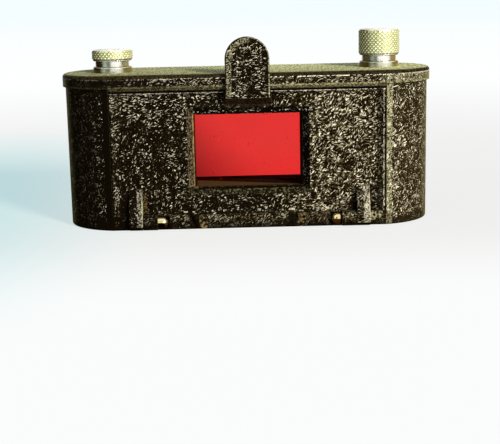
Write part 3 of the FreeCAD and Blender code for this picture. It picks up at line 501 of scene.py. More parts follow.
def door_edge_colors(paint, color):
    """Along the door's edges: shade and a lit line at the right, and lit dots along the top and the foot."""
    color = paint.lay(color, GROUND, paint.band(paint.x, RIGHT_MARGIN, SOFT), 0.7)
    color = paint.lay(color, GROUND, paint.step(paint.x, RIGHT_SIDE_RUN), paint.step(paint.y, (-17.0, -17.2)))
    dots = paint.step(paint.noise(1.1, 0.5, offset=(31.0, 2.0, 4.0)), (0.40, 0.55))
    top_edge = paint.times(paint.step(paint.z, TOP_EDGE_RUN), paint.step(paint.y, (-17.8, -17.6)), dots,
                           paint.step(paint.x, (-20.0, 15.0), (0.25, 0.55)),
                           paint.step(paint.y, (-16.6, -17.1), (0.45, 1.0)))
    right_edge = paint.times(paint.band(paint.x, RIGHT_EDGE, 0.1),
                             paint.speckle((2.0, 2.0, 11.0), 0.9, (0.36, 0.6)), 0.45)
    low_dots = paint.times(paint.band(paint.z, LOW_ROW, 0.2),
                           paint.speckle((4.0, 0.0, 7.0), 0.8, (0.56, 0.64)), 0.6,
                           paint.band(paint.x, (-24.0, 26.0), 3.0))
    return paint.mix(paint.most(right_edge, top_edge, low_dots), color, PALE_GLINT)


def bevel_colors(paint):
    """The window's bevel: finer lacquer in painted shade at the top and right and in painted light at the
    left and bottom, with a painted shadow line by the lower inner edge; worn brass with a painted highlight
    at its left inner edge.
    """
    fine = paint.noise(1.5, 1.0, 0.6, offset=(3.0, 0.0, 17.0))
    dots = paint.step(paint.noise(1.5, 0.5, offset=(23.0, 5.0, 1.0)), (0.60, 0.68))
    lit_row = paint.most(paint.times(paint.band(paint.z, BEVEL_LIT_ROW, 0.2), 0.8), 0.12)
    color = paint.lay(BEVEL_SHADE, PALE_GLINT, dots, lit_row)
    left_side = paint.mix(paint.step(fine, (0.40, 0.68)), *BEVEL_LEFT_LIT)
    color = paint.mix(paint.step(paint.x, BEVEL_LEFT_RUN), color, left_side)
    low_side = paint.mix(paint.step(fine, (0.46, 0.70)), *BEVEL_LOW_LIT)
    # Painted shadow along the lower inner edge.
    low_side = paint.mix(paint.step(paint.y, (-15.5, -15.2)), low_side, GROUND)
    color = paint.mix(paint.step(paint.z, BEVEL_LOW_RUN), color, low_side)
    left_rim = paint.times(paint.step(paint.y, (-15.15, -14.95)), paint.step(paint.x, (-17.0, -17.8)))
    return paint.lay(color, WORN_BRASS_AND_GLINT, left_rim,
                     paint.step(paint.noise(0.5, 3.0, 0.6), (0.35, 0.55), (0.15, 0.75)))


def tongue_colors(paint, color):
    """The tongue: a painted highlight line and painted shade round its right rim, painted lit olive strokes
    inside its shaded left rim, and its foot in painted shade."""
    on_tongue = paint.times(paint.step(paint.y, TONGUE_FACE_RUN), paint.band(paint.x, TONGUE_X, 0.05),
                            paint.step(paint.z, TONGUE_Z_RUN))
    above = paint.most(paint.minus(paint.z, TONGUE_TOP_CENTRE_Z), 0.0)
    inward = paint.minus(TONGUE_RADIUS, paint.distance(above, paint.x))
    right = paint.step(paint.x, (-1.0, 1.5))
    left = paint.without(right)
    olive = paint.times(paint.band(inward, (0.5, 1.9), 0.35), left,
                        paint.speckle((6.0, 0.0, 5.0), 1.7, (0.44, 0.60)), 0.27)
    color = paint.lay(color, YELLOW_GLINT, on_tongue, olive)
    rim_shade = paint.most(paint.times(paint.band(inward, (0.55, 0.95), 0.12), right),
                        paint.times(paint.step(inward, (0.45, 0.3)), left))
    color = paint.lay(color, GROUND, on_tongue, rim_shade, 0.85)
    line = paint.times(paint.band(inward, (0.10, 0.30), 0.08), right,
                       paint.speckle((3.0, 0.0, 8.0), 1.2, (0.3, 0.6)))
    color = paint.lay(color, YELLOW_GLINT, on_tongue, line, 0.42)
    foot = paint.times(paint.step(paint.y, (-16.9, -17.05)), paint.band(paint.x, TONGUE_FOOT_X, 0.2),
                       paint.band(paint.z, TONGUE_FOOT_Z, 0.2))
    return paint.mix(foot, color, paint.mix(paint.speckle((8.0, 0.0, 1.0), 1.2), *TONGUE_FOOT_SHADE))


def lug_colors(paint, color):
    """The hinge lugs, in painted light: pale towards the right, with a lit edge there and below; painted
    shade beside them and under their feet, and a brown patch right of the left lug."""
    low = paint.step(paint.z, LUG_TOP_RUN)
    above_foot = paint.step(paint.z, LUG_FOOT_RUN)
    grain = paint.speckle((7.0, 1.0, 33.0), 1.7)
    shade = paint.most(paint.band(paint.x, LEFT_OF_LEFT_LUG, 0.25),
                       paint.times(paint.band(paint.x, LEFT_OF_RIGHT_LUG, 0.15), 0.75),
                       paint.times(paint.band(paint.x, LEFT_LUG_DARK_HALF, 0.2), 0.4),
                       paint.times(paint.band(paint.x, RIGHT_LUG_DARK_HALF, 0.2), 0.5),
                       paint.times(paint.band(paint.x, RIGHT_OF_RIGHT_LUG, 0.2), 0.5))
    color = paint.lay(color, GROUND, shade, low, 0.9)
    color = paint.lay(color, paint.mix(grain, *LUG_BROWN), paint.band(paint.x, BROWN_RIGHT_OF_LEFT_LUG, 0.15),
                      paint.step(paint.z, (13.4, 11.0)), 0.9)
    color = paint.lay(color, PALE_GLINT, paint.bands(paint.x, LUG_LIT_HALVES, 0.1), low, grain, above_foot,
                      paint.step(paint.x, (0.0, 1.0), (0.26, 0.36)))
    side = paint.times(paint.bands(paint.x, LUG_LIT_EDGES, 0.06), paint.step(paint.z, (15.0, 8.0)),
                       above_foot)
    foot = paint.times(paint.band(paint.x, RIGHT_LUG, 0.05), paint.band(paint.z, LUG_FOOT_LINE, 0.12))
    color = paint.lay(color, YELLOW_GLINT, paint.most(side, foot),
                      paint.speckle((5.0, 9.0, 3.0), 1.0, (0.3, 0.6)), 0.5)
    return paint.lay(color, GROUND, low, paint.without(above_foot))


def door_lacquer():
    """The door with its tongue and lugs, and the window's bevel; worn to brass along some edges."""
    paint = Paint("wrinkle_lacquer_door")
    rightward = paint.step(paint.x, DOOR_RIGHTWARD_RUN)
    left_margin = paint.band(paint.x, LEFT_MARGIN, SOFT)
    height = door_wrinkles(paint, rightward, left_margin)
    # Painted light: dimmer crests at the left and on the left margin, a painted shadow at the door's left
    # edge, fewer flanks at the left.
    painted_light = paint.times(paint.either(rightward, 0.80, 1.0),
                             paint.step(paint.x, DOOR_LEFT_SHADOW_RUN, (0.04, 1.0)),
                             paint.either(left_margin, 1.0, 0.72))
    color = lacquer_color(paint, height, painted_light, paint.either(rightward, 0.30, 1.0))
    color = door_edge_colors(paint, color)
    bevel = paint.times(paint.band(paint.x, BEVEL_X, 0.1), paint.band(paint.z, BEVEL_Z, 0.1),
                        paint.step(paint.y, BEVEL_Y_RUN))
    color = paint.mix(bevel, color, bevel_colors(paint))
    color = tongue_colors(paint, color)
    color = lug_colors(paint, color)
    worn = paint.times(paint.edges(0.22), paint.step(paint.noise(0.9, 3.0), (0.5, 0.62)))
    color = paint.mix(paint.step(worn, (0.10, 0.22), (0.0, 0.8)), color, WORN_BRASS_AND_GLINT)
    height = paint.times(height, paint.either(bevel, 1.0, 0.3))
    rough = paint.step(paint.noise(1.7, 2.0), NOISE_RUN, (0.36, 0.5))
    return paint.finish(color, rough, 0.0, lacquer_normal(paint, height), specular_ior_level=LACQUER_SPECULAR)


# ---- Lacquer of the lid --------------------------------------------

LID_RIGHT_END_RUN = (44.0, 47.0)
LID_JOINT_RUN = (48.8, 48.45)
LID_UNDER_EDGE = (50.88, 51.05)
LID_EDGE_RUN = (51.12, 51.30)
LID_TOP_RUN = (52.1, 52.25)
LID_FRONT_RUN = (-17.6, -14.0)
LID_GRAIN_RUN = (0.36, 0.64)
LID_GRAIN_DEPTH = 0.05
LID_SHEEN = ((0.44, 0.45, 0.20), (1.0, 1.0, 0.57))
LID_TOP_ROUGHNESS = 0.75
LID_SPECULAR = 0.04


def lid_skirt(paint, color, height, right_end):
    """The lid's skirt in painted light: olive at the joint, an olive sheen where seen edge on, yellow glints
    at the right end and pale glints under its edge.
    """
    color = paint.lay(color, YELLOW_GLINT, right_end, paint.speckle((4.0, 4.0, 4.0), 1.6), 0.22)
    color = paint.mix(paint.step(paint.z, LID_JOINT_RUN), color, joint_colors(paint, 1.0))
    color = paint.lay(color, OLIVE_SHEEN, paint.grazing(), 0.6)
    under_edge = paint.times(paint.band(paint.z, LID_UNDER_EDGE, 0.12),
                             paint.step(paint.x, (-45.0, 18.0), (0.15, 1.0)),
                             paint.step(paint.x, (32.0, 48.0), (1.0, 0.6)))
    return paint.lay(color, PALE_GLINT, under_edge, paint.step(height, (0.40, 0.50)))


def lid_top(paint, wrinkled, grain):
    """The lid's top: wrinkled lacquer, a fine olive sheen where seen almost edge on, a dark front edge."""
    sheen_grain = paint.noise(2.1, 2.0, 0.6, place=paint.scaled((1.0, 0.12, 1.0)))
    olive = paint.mix(paint.step(sheen_grain, (0.38, 0.60)), *LID_SHEEN)
    lit = paint.times(paint.step(paint.x, (-56.0, 20.0), (0.62, 1.0)),
                      paint.step(paint.y, (-14.0, 8.0), (0.78, 1.0)))
    edge_on = paint.plus(paint.times(paint.grazing((0.70, 0.90)), 0.98), 0.02)
    color = paint.mix(edge_on, wrinkled, paint.mix(lit, GROUND, olive))
    return paint.mix(paint.step(paint.y, LID_FRONT_RUN), paint.mix(grain, GROUND, FLANK), color)


def lid_lacquer():
    """The lid's lacquer: wrinkled on the skirt and the top, fine grained and dark round the edge."""
    paint = Paint("wrinkle_lacquer_lid")
    right_end = paint.step(paint.x, LID_RIGHT_END_RUN)
    # Painted light: fewer and dimmer pale strokes towards the left, more at the right end.
    fullness = paint.plus(paint.step(paint.x, (-46.0, -10.0), (0.18, 0.70)), paint.times(right_end, 0.20))
    height = wrinkle(paint, fullness, 0.08)
    painted_light = paint.step(paint.x, (-52.0, -22.0), (0.07, 0.75))
    lacquer = lacquer_color(paint, height, painted_light, paint.step(paint.x, (-46.0, 30.0), (0.15, 1.0)))
    grain = paint.step(paint.noise(1.6, 2.0, 0.6, place=paint.scaled((1.0, 0.55, 1.0))), LID_GRAIN_RUN)
    edge = paint.step(paint.z, LID_EDGE_RUN)
    on_top = paint.step(paint.z, LID_TOP_RUN)
    color = lid_skirt(paint, lacquer, height, right_end)
    color = paint.mix(edge, color, paint.mix(paint.times(grain, 0.5), GROUND, FLANK))
    wrinkled = paint.mix(paint.step(height, (0.5, 0.58), (0.0, 0.5)), lacquer, OLIVE_SHEEN)
    color = paint.mix(on_top, color, lid_top(paint, wrinkled, grain))
    rough = paint.either(on_top, LACQUER_ROUGHNESS, LID_TOP_ROUGHNESS)
    fine = paint.bump(grain, LID_GRAIN_DEPTH, paint.rounded(LACQUER_EDGE_RADIUS))
    normal = paint.bump(paint.times(height, paint.without(edge)), WRINKLE_DEPTH, fine)
    return paint.finish(color, rough, 0.0, normal, specular_ior_level=LID_SPECULAR)


# ---- Knob sizes ----------------------------------------------------

KNURL_RADIUS = 7.03
KNURL_BOTTOM = 56.3
LOW_CHAMFER = 0.3
HIGH_CHAMFER = 0.25
NECK_RADIUS = 5.85
NECK_CHAMFER = 0.15
KNOB_BOTTOM = 54.38
SCREW_HOLE_RADIUS = 2.4
SCREW_HOLE_DEPTH = 1.7
SCREW_SHANK_RADIUS = 1.03
CAP_THICKNESS = 2.5
BORE_RADIUS = 2.53
DIAMONDS_ROUND = 32
STEPS_PER_DIAMOND = 4
KNURL_DEPTH_SHARE = 0.27
SHARP_ANGLE = 32.0


# ---- Metals --------------------------------------------------------

CLOUDS_PER_MM = 0.6
BROAD_CLOUDS_PER_MM = 0.5
SCRATCHES_PER_MM = 6.0
SCRATCH_DEPTH = 0.01
POLISHED = (0.20, 0.12)


def clouds(paint, frequency):
    return paint.noise(frequency, 3.0, 0.6)


def metal(name, dark, light, rough):
    """A metal with cloudy colour, fine scratches and softened edges."""
    paint = Paint(name)
    fine = paint.noise(SCRATCHES_PER_MM, 2.0, 0.7)
    color = paint.mix(paint.step(clouds(paint, CLOUDS_PER_MM), NOISE_RUN), dark, light)
    roughness = paint.step(fine, (0.25, 0.75), rough)
    return paint.finish(color, roughness, 1.0, paint.bump(fine, SCRATCH_DEPTH, paint.rounded(0.15)))


def turning_marks(paint):
    """A normal for metal turned on a lathe about an upright axis: fine rings one above the other."""
    rings = paint.noise(9.0, 2.0, 0.6, place=paint.scaled((0.04, 0.04, 1.0)))
    return paint.bump(rings, 0.02, paint.rounded(0.08))


def turned_nickel():
    """Bright nickel turned on a lathe, a little yellow in clouds."""
    paint = Paint("polished_nickel")
    cloud = clouds(paint, BROAD_CLOUDS_PER_MM)
    color = paint.mix(paint.step(cloud, NOISE_RUN), (0.88, 0.85, 0.66), (0.97, 0.96, 0.88))
    return paint.finish(color, paint.step(cloud, NOISE_RUN, POLISHED), 1.0, turning_marks(paint))


GATE_OPENING_X = (-18.35, 18.35)
GATE_OPENING_Z = (13.95, 38.65)


def gate_finish():
    """The film gate: polished nickel, matt black on the walls of its picture opening."""
    paint = Paint("gate_nickel")
    cloud = clouds(paint, BROAD_CLOUDS_PER_MM)
    nickel = paint.mix(paint.step(cloud, NOISE_RUN), (0.80, 0.75, 0.55), (0.94, 0.91, 0.78))
    black = paint.mix(cloud, (0.003, 0.002, 0.002), (0.008, 0.006, 0.005))
    opening = paint.times(paint.band(paint.x, GATE_OPENING_X, 0.1), paint.band(paint.z, GATE_OPENING_Z, 0.1))
    return paint.finish(paint.mix(opening, nickel, black), paint.either(opening, 0.18, MATT_ROUGHNESS),
                        paint.without(opening), paint.bump(cloud, 0.01, paint.rounded(0.1)))


GOLD_REFLECTION = (0.50, 0.40, 0.12)
BROWN_REFLECTION = (0.13, 0.09, 0.03)


def bushing_nickel(name, axis_x):
    """A knob's bushing: turned nickel, with a painted brown reflection on its left and a painted golden one
    on its right.
    """
    paint = Paint(name)
    across = paint.minus(paint.x, axis_x)
    cloud = clouds(paint, BROAD_CLOUDS_PER_MM)
    color = paint.mix(paint.step(cloud, NOISE_RUN), (0.88, 0.86, 0.72), (0.98, 0.97, 0.92))
    color = paint.lay(color, GOLD_REFLECTION, paint.step(across, (3.2, 5.2), (0.0, 0.75)))
    color = paint.lay(color, BROWN_REFLECTION, paint.step(across, (-1.5, -4.6), (0.0, 0.97)))
    return paint.finish(color, paint.step(cloud, NOISE_RUN, POLISHED), 1.0, turning_marks(paint))


DRUM_NICKEL = ((0.88, 0.92, 0.49), (0.97, 1.0, 0.63))
NECK_NICKEL = ((0.95, 0.92, 0.80), (0.99, 0.98, 0.95))
KNOB_LEFT_SHADE = (0.20, 0.17, 0.09)
KNURL_DIRT_AND_SHADE = (0.10, 0.075, 0.028)


def knurled_nickel(name, axis_x, top, depth):
    """Nickel with brown dirt in the grooves of its knurl, heavier at its left as painted shade, yellow on the
    drum, and in painted shade at its left.
    """
    paint = Paint(name)
    across = paint.minus(paint.x, axis_x)
    from_axis = paint.distance(across, paint.y)
    on_drum = paint.times(paint.step(paint.z, (KNURL_BOTTOM + 0.5, KNURL_BOTTOM + 0.7)),
                          paint.step(from_axis, (NECK_RADIUS + 0.2, NECK_RADIUS + 0.5)))
    crest = paint.step(from_axis, (KNURL_RADIUS - depth, KNURL_RADIUS - 0.6 * depth))
    cloud = clouds(paint, CLOUDS_PER_MM)
    drum = paint.mix(paint.step(cloud, NOISE_RUN), *DRUM_NICKEL)
    color = paint.mix(on_drum, paint.mix(cloud, *NECK_NICKEL), drum)
    # Painted shade on the left side of the drum and neck.
    left_shade = paint.most(paint.times(paint.step(across, (-1.5, -6.5), (0.0, 0.58)), on_drum),
                         paint.times(paint.step(across, (-1.0, -4.8), (0.0, 0.97)), paint.without(on_drum)))
    color = paint.lay(color, KNOB_LEFT_SHADE, left_shade)
    # Dirt in the knurl's grooves, darker towards the left as painted shade.
    color = paint.lay(color, KNURL_DIRT_AND_SHADE, on_drum, paint.without(crest),
                      paint.step(paint.z, (top - 0.3, top - 0.5)),
                      paint.step(across, (5.0, -4.0), (0.45, 1.0)))
    rough = paint.plus(paint.step(cloud, NOISE_RUN, (0.14, 0.22)), paint.times(on_drum, 0.08))
    return paint.finish(color, rough, paint.either(on_drum, 1.0, 0.55), turning_marks(paint))


PIN_CENTRE = (-30.1, 0.0, 1.75)
PIN_DARK_REFLECTION_RUN = (1.40, 0.95)
RIGHT_PIN_RUN = (30.2, 30.6)
PIN_RED_REFLECTION = (0.62, 0.26, 0.05)
PIN_SHADE = (0.012, 0.006, 0.003)


def pin_finish():
    """Pale brass, with a painted red reflection below, a painted dark reflection in the left pin's face and
    painted shade on the right pin's right side.
    """
    paint = Paint("pin_brass")
    cloud = clouds(paint, CLOUDS_PER_MM)
    color = paint.mix(paint.step(cloud, NOISE_RUN), (0.80, 0.62, 0.30), (0.95, 0.84, 0.52))
    color = paint.mix(paint.step(paint.z, (2.6, 1.4)), color, PIN_RED_REFLECTION)
    from_centre = paint.vector("MULTIPLY", paint.vector("SUBTRACT", paint.place, PIN_CENTRE), (0.8, 0.0, 1.0))
    dark_reflection = paint.step(paint.vector("LENGTH", from_centre), PIN_DARK_REFLECTION_RUN)
    color = paint.mix(paint.most(dark_reflection, paint.step(paint.x, RIGHT_PIN_RUN)), color, PIN_SHADE)
    rough = paint.step(cloud, NOISE_RUN, (0.10, 0.18))
    return paint.finish(color, rough, 1.0, paint.bump(cloud, 0.01, paint.rounded(0.15)))


# ---- Enamel, velvet and glass --------------------------------------

BOX_MOUTH_X = (-18.33, 18.33)
BOX_MOUTH_Z = (13.97, 38.63)
BOX_WALL_RUN = (17.6, 18.1)
BOX_BROWN = ((0.100, 0.050, 0.018), (0.140, 0.078, 0.030))
BOX_BLACK = ((0.014, 0.005, 0.003), (0.036, 0.014, 0.010))


def pressure_box_finish():
    """Brown enamel, worn brass with a painted glint at the mouth's left; black outside, and painted shade on
    the side walls, towards the glass and along the lip at the mouth's lower left.
    """
    paint = Paint("dull_brass")
    streak = paint.noise(1.5, 2.0, 0.5, place=paint.drawn_out(paint.place, 0.0, 0.4, (0.0, 3.0, 0.0)))
    streak = paint.step(streak, NOISE_RUN)
    black = paint.mix(streak, *BOX_BLACK)
    # Painted shade on the side walls and beyond a slanting shadow edge towards the glass.
    side_walls = paint.step(paint.math("ABSOLUTE", paint.x), BOX_WALL_RUN)
    slanting = paint.plus(paint.y, paint.times(paint.plus(paint.x, 12.0), 0.33))
    toward_glass = paint.step(slanting, (-4.0, -2.4))
    outside = paint.without(paint.times(paint.band(paint.x, BOX_MOUTH_X, 0.03),
                                        paint.band(paint.z, BOX_MOUTH_Z, 0.03)))
    color = paint.mix(paint.most(side_walls, toward_glass, outside), paint.mix(streak, *BOX_BROWN), black)
    # Worn brass with a painted glint along the mouth's rim, full only at the left.
    color = paint.lay(color, WORN_BRASS_AND_GLINT, paint.step(paint.y, (-13.6, -14.0)),
                      paint.step(streak, (0.2, 0.6), (0.4, 1.0)), paint.step(paint.x, (-16.8, -17.6)))
    # Painted shade along the lip at the mouth's lower left.
    color = paint.lay(color, black, paint.step(paint.y, (-12.9, -13.3)), paint.step(paint.x, (-17.6, -16.8)),
                      paint.step(paint.z, (14.5, 14.1)), 0.8)
    return paint.finish(color, paint.either(streak, 0.5, 0.32), 0.0,
                        paint.bump(streak, 0.02, paint.rounded(0.2)), specular_ior_level=0.0)


def black_enamel():
    """Smooth black enamel with pale dust on it."""
    paint = Paint("black_enamel")
    dust = paint.noise(2.2, 3.0, 0.6)
    color = paint.mix(paint.step(dust, (0.45, 0.75)), (0.012, 0.011, 0.010), (0.035, 0.031, 0.026))
    return paint.finish(color, paint.step(dust, NOISE_RUN, (0.25, 0.42)), 0.0,
                        paint.bump(dust, 0.02, paint.rounded(0.2)))


def velvet():
    paint = Paint("black_velvet")
    pile = paint.noise(7.0, 2.0, 0.7)
    color = paint.mix(pile, (0.004, 0.004, 0.004), (0.022, 0.020, 0.019))
    return paint.finish(color, 0.95, 0.0, paint.bump(pile, 0.12), sheen_weight=0.4)


BLOOMED_GLASS_IOR = 1.15


def glass(name, tint, dusty):
    """Clear or coloured glass with a few specks of dust on it, bloomed so that it reflects little."""
    paint = Paint(name)
    speck = paint.step(paint.noise(0.7, 0.0, place=paint.warped(0.5, 1.0)), (0.845, 0.87))
    color = paint.mix(paint.step(paint.noise(0.10, 3.0), NOISE_RUN), tint, dusty)
    paint.put(paint.shader.inputs["Transmission Weight"], paint.without(paint.times(speck, 0.5)))
    return paint.finish(color, paint.times(speck, 0.3), 0.0, ior=BLOOMED_GLASS_IOR)


# ---- Which piece has which material --------------------------------

by_material = {
    case_lacquer(): ("case_body",),
    door_lacquer(): ("door_panel", "pressure_frame_studs"),
    lid_lacquer(): ("lid_cover",),
    black_enamel(): ("rear_window_frame", "left_spool_core", "right_spool_core", "left_spool_flanges",
                     "right_spool_flanges"),
    pressure_box_finish(): ("pressure_frame",),
    gate_finish(): ("film_gate",),
    turned_nickel(): ("left_knob_screw", "right_knob_screw", "left_bushing_nut", "right_bushing_nut"),
    bushing_nickel("left_bushing_nickel", -KNOB_AXIS_X): ("left_bushing",),
    bushing_nickel("right_bushing_nickel", KNOB_AXIS_X): ("right_bushing",),
    pin_finish(): ("left_hinge_pin", "right_hinge_pin"),
    metal("brass", (0.45, 0.31, 0.12), (0.66, 0.47, 0.20), (0.22, 0.42)): (
        "film_gate_screws", "rear_frame_screws", "left_spool_pivot", "right_spool_pivot"),
    metal("spring_steel", (0.36, 0.35, 0.33), (0.52, 0.51, 0.49), (0.22, 0.4)): (
        "pressure_springs", "lid_grip_springs", "left_hinge_spring", "right_hinge_spring",
        "take_up_film_clip", "left_brake_washer", "right_brake_washer"),
    metal("blued_steel", (0.05, 0.055, 0.075), (0.11, 0.12, 0.15), (0.25, 0.42)): (
        "left_spindle", "right_spindle"),
    velvet(): ("door_light_seal",),
    glass("red_glass", (0.84, 0.031, 0.030), (0.81, 0.036, 0.032)): ("red_filter_glass",),
    glass("clear_glass", (0.985, 0.995, 0.99), (0.96, 0.98, 0.97)): ("gate_glass", "rear_window_glass"),
}
for material, names in by_material.items():
    for name in names:
        mesh = nodes[name].data
        mesh.materials.clear()
        mesh.materials.append(material)


# ---- Knurled knobs -------------------------------------------------

def add_object(name, data):
    made = bpy.data.objects.new(name, data)
    bpy.context.scene.collection.objects.link(made)
    return made


def knurl_height(turn, rise):
    """How far below the knurl's crest a point lies, from 0 to 1; both places are counted in diamonds."""
    first, second = turn + rise, turn - rise
    off = max(abs(first - round(first)), abs(second - round(second)))
    return min(1.0, 2.0 * off)


def knob_profile(top, rows):
    """The knob's outline as radii and heights, with the place in it where the knurl starts and ends."""
    low, high = KNURL_BOTTOM + LOW_CHAMFER, top - HIGH_CHAMFER
    below = [(BORE_RADIUS, KNOB_BOTTOM), (NECK_RADIUS - NECK_CHAMFER, KNOB_BOTTOM),
             (NECK_RADIUS, KNOB_BOTTOM + NECK_CHAMFER), (NECK_RADIUS, KNURL_BOTTOM - NECK_CHAMFER),
             (NECK_RADIUS + 0.1, KNURL_BOTTOM), (KNURL_RADIUS - LOW_CHAMFER - 0.1, KNURL_BOTTOM),
             (KNURL_RADIUS - LOW_CHAMFER / 2 - 0.1, KNURL_BOTTOM + LOW_CHAMFER / 2)]
    knurl = [(KNURL_RADIUS, low + (high - low) * row / rows) for row in range(rows + 1)]
    above = [(KNURL_RADIUS - HIGH_CHAMFER - 0.12, top - 0.03), (KNURL_RADIUS - HIGH_CHAMFER - 0.3, top),
             (SCREW_HOLE_RADIUS + 0.15, top), (SCREW_HOLE_RADIUS, top - 0.15),
             (SCREW_HOLE_RADIUS, top - SCREW_HOLE_DEPTH), (SCREW_SHANK_RADIUS, top - SCREW_HOLE_DEPTH),
             (SCREW_SHANK_RADIUS, top - CAP_THICKNESS), (BORE_RADIUS, top - CAP_THICKNESS)]
    return below + knurl + above, len(below), len(below) + len(knurl)


def knob_piece(name, centre_x, top):
    """A winding knob with a cut diamond knurl on its drum, a plain neck, and a bore from below."""
    columns = DIAMONDS_ROUND * STEPS_PER_DIAMOND
    pitch = 2.0 * math.pi * KNURL_RADIUS / DIAMONDS_ROUND
    depth = KNURL_DEPTH_SHARE * pitch
    rows = round((top - HIGH_CHAMFER - KNURL_BOTTOM - LOW_CHAMFER) / pitch * STEPS_PER_DIAMOND)
    profile, knurl_start, knurl_end = knob_profile(top, rows)
    mesh = bmesh.new()
    rings = []
    for index, (radius, z) in enumerate(profile):
        ring = []
        for column in range(columns):
            drop = 0.0
            if index in (knurl_start, knurl_end - 1):
                drop = depth
            elif knurl_start < index < knurl_end:
                rise = (index - knurl_start) / STEPS_PER_DIAMOND
                drop = depth * knurl_height(column / STEPS_PER_DIAMOND, rise)
            angle = 2.0 * math.pi * column / columns
            reach = (radius - drop) * MM
            place = (centre_x * MM + reach * math.cos(angle), reach * math.sin(angle), z * MM)
            ring.append(mesh.verts.new(place))
        rings.append(ring)
    for index, ring in enumerate(rings):
        following = rings[(index + 1) % len(rings)]
        smooth = not knurl_start <= index < knurl_end - 1
        for column in range(columns):
            beside = (column + 1) % columns
            face = mesh.faces.new((ring[column], ring[beside], following[beside], following[column]))
            face.smooth = smooth
    bmesh.ops.recalc_face_normals(mesh, faces=mesh.faces)
    data = bpy.data.meshes.new(name)
    mesh.to_mesh(data)
    mesh.free()
    data.materials.append(knurled_nickel(name, centre_x, top, depth))
    data.set_sharp_from_angle(angle=math.radians(SHARP_ANGLE))
    return add_object(name, data)


for side, centre_x in (("left", -KNOB_AXIS_X), ("right", KNOB_AXIS_X)):
    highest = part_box(side + "_knob")[1]
    piece = knob_piece(side + "_knurled_knob", centre_x, highest.z / MM)
    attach(piece, side + "_winder")
    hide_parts(side + "_knob")


# ---- Camera and lamps ----------------------------------------------

FOCAL_PIXELS = 1167.9
IMAGE_WIDTH = 500.0
SENSOR_WIDTH = 36.0
CAMERA_PLACE = (-6.43, -404.96, 84.62)
PITCH, YAW, ROLL = 0.20995, 0.01639, -0.02129
NEAREST_SEEN = 10.0
FURTHEST_SEEN = 50000.0


def photo_camera():
    data = bpy.data.cameras.new("camera")
    data.sensor_fit = "HORIZONTAL"
    data.sensor_width = SENSOR_WIDTH
    data.lens = FOCAL_PIXELS * SENSOR_WIDTH / IMAGE_WIDTH
    data.clip_start = NEAREST_SEEN * MM
    data.clip_end = FURTHEST_SEEN * MM
    camera = add_object("camera", data)
    forward = Vector((math.sin(YAW) * math.cos(PITCH), math.cos(YAW) * math.cos(PITCH), -math.sin(PITCH)))
    level = Vector((math.cos(YAW), -math.sin(YAW), 0.0))
    upright = level.cross(forward)
    right = math.cos(ROLL) * level + math.sin(ROLL) * upright
    up = math.cos(ROLL) * upright - math.sin(ROLL) * level
    turn = Matrix((right, up, -forward)).transposed().to_4x4()
    camera.matrix_world = Matrix.Translation(Vector(CAMERA_PLACE) * MM) @ turn
    bpy.context.scene.camera = camera


def sun(name, toward, spread, strength, color):
    """A soft distant lamp that shines from a direction, seen from the object."""
    data = bpy.data.lights.new(name, "SUN")
    data.angle = math.radians(spread)
    data.energy = strength
    data.color = color
    light = add_object(name, data)
    light.rotation_euler = Vector(toward).to_track_quat("Z", "Y").to_euler()


# ---- Surroundings and floor ----------------------------------------

EVEN_LIGHT = 0.20
FAR_WHITE = (0.90, 0.98, 1.0)
NEAR_WHITE = (0.99, 1.0, 1.0)
FRONT_RIGHT = (0.50, -0.866, 0.0)
BLUE_SIDE = (-0.695, -0.719, -0.10)
RIGHT_SIDE = (0.98, 0.20, 0.0)
BEHIND = (0.0, 1.0, 0.0)
ABOVE = (0.0, 0.0, 1.0)
MIRRORED_BROWN = (0.055, 0.038, 0.016)
MIRRORED_GOLD = (0.31, 0.23, 0.075)
MIRRORED_WHITE = (1.0, 1.0, 0.97)
MIRRORED_BLUE = (0.17, 0.24, 0.18)
MIRRORED_FLOOR = (0.05, 0.032, 0.014)


def seen_in_mirrors(paint, direction):
    """What bright metal reflects: white at the front right, above and behind, blue at the front left, gold at
    the right, and brown elsewhere."""
    def toward(side, run):
        return paint.step(paint.vector("DOT_PRODUCT", direction, side), run)

    white = paint.most(toward(FRONT_RIGHT, (0.68, 0.80)), toward(ABOVE, (0.35, 0.65)),
                       toward(BEHIND, (0.75, 0.92)))
    color = paint.mix(toward(RIGHT_SIDE, (0.3, 0.8)), MIRRORED_BROWN, MIRRORED_GOLD)
    color = paint.mix(white, color, MIRRORED_WHITE)
    return paint.mix(toward(BLUE_SIDE, (0.88, 0.96)), color, MIRRORED_BLUE)


class Surround(Paint):
    """The world's nodes being put together; its place is the direction of the ray."""

    def __init__(self, name):
        world = bpy.data.worlds.new(name)
        bpy.context.scene.world = world
        world.use_nodes = True
        self.open_tree(world.node_tree, "Background")
        self.place = self.add("ShaderNodeTexCoord").outputs["Generated"]


def surround():
    """Even light from all round, white behind the object, and what its metal parts mirror."""
    paint = Surround("surround")
    mirrored = seen_in_mirrors(paint, paint.place)
    paint.put(paint.shader.inputs["Color"], paint.mix(paint.mirror_ray(), FAR_WHITE, mirrored))
    seen = paint.most(paint.ray("Is Camera Ray"), paint.glass_ray(), paint.ray("Is Glossy Ray"))
    paint.put(paint.shader.inputs["Strength"], paint.either(seen, EVEN_LIGHT, 1.0))


FLOOR_HALF_WIDTH = 8000.0
FLOOR_PALE = ((0.95, 0.965, 0.97), (0.97, 0.98, 0.98))
FLOOR_BLUE_SHADOW = (0.64, 0.89, 0.92)
BLUE_SHADOW_CENTRE = (-120.0, 40.0, 0.0)
BLUE_SHADOW_SIZE = (75.0, 190.0)
BLACK = (0.0, 0.0, 0.0)
WHITE = (1.0, 1.0, 1.0)


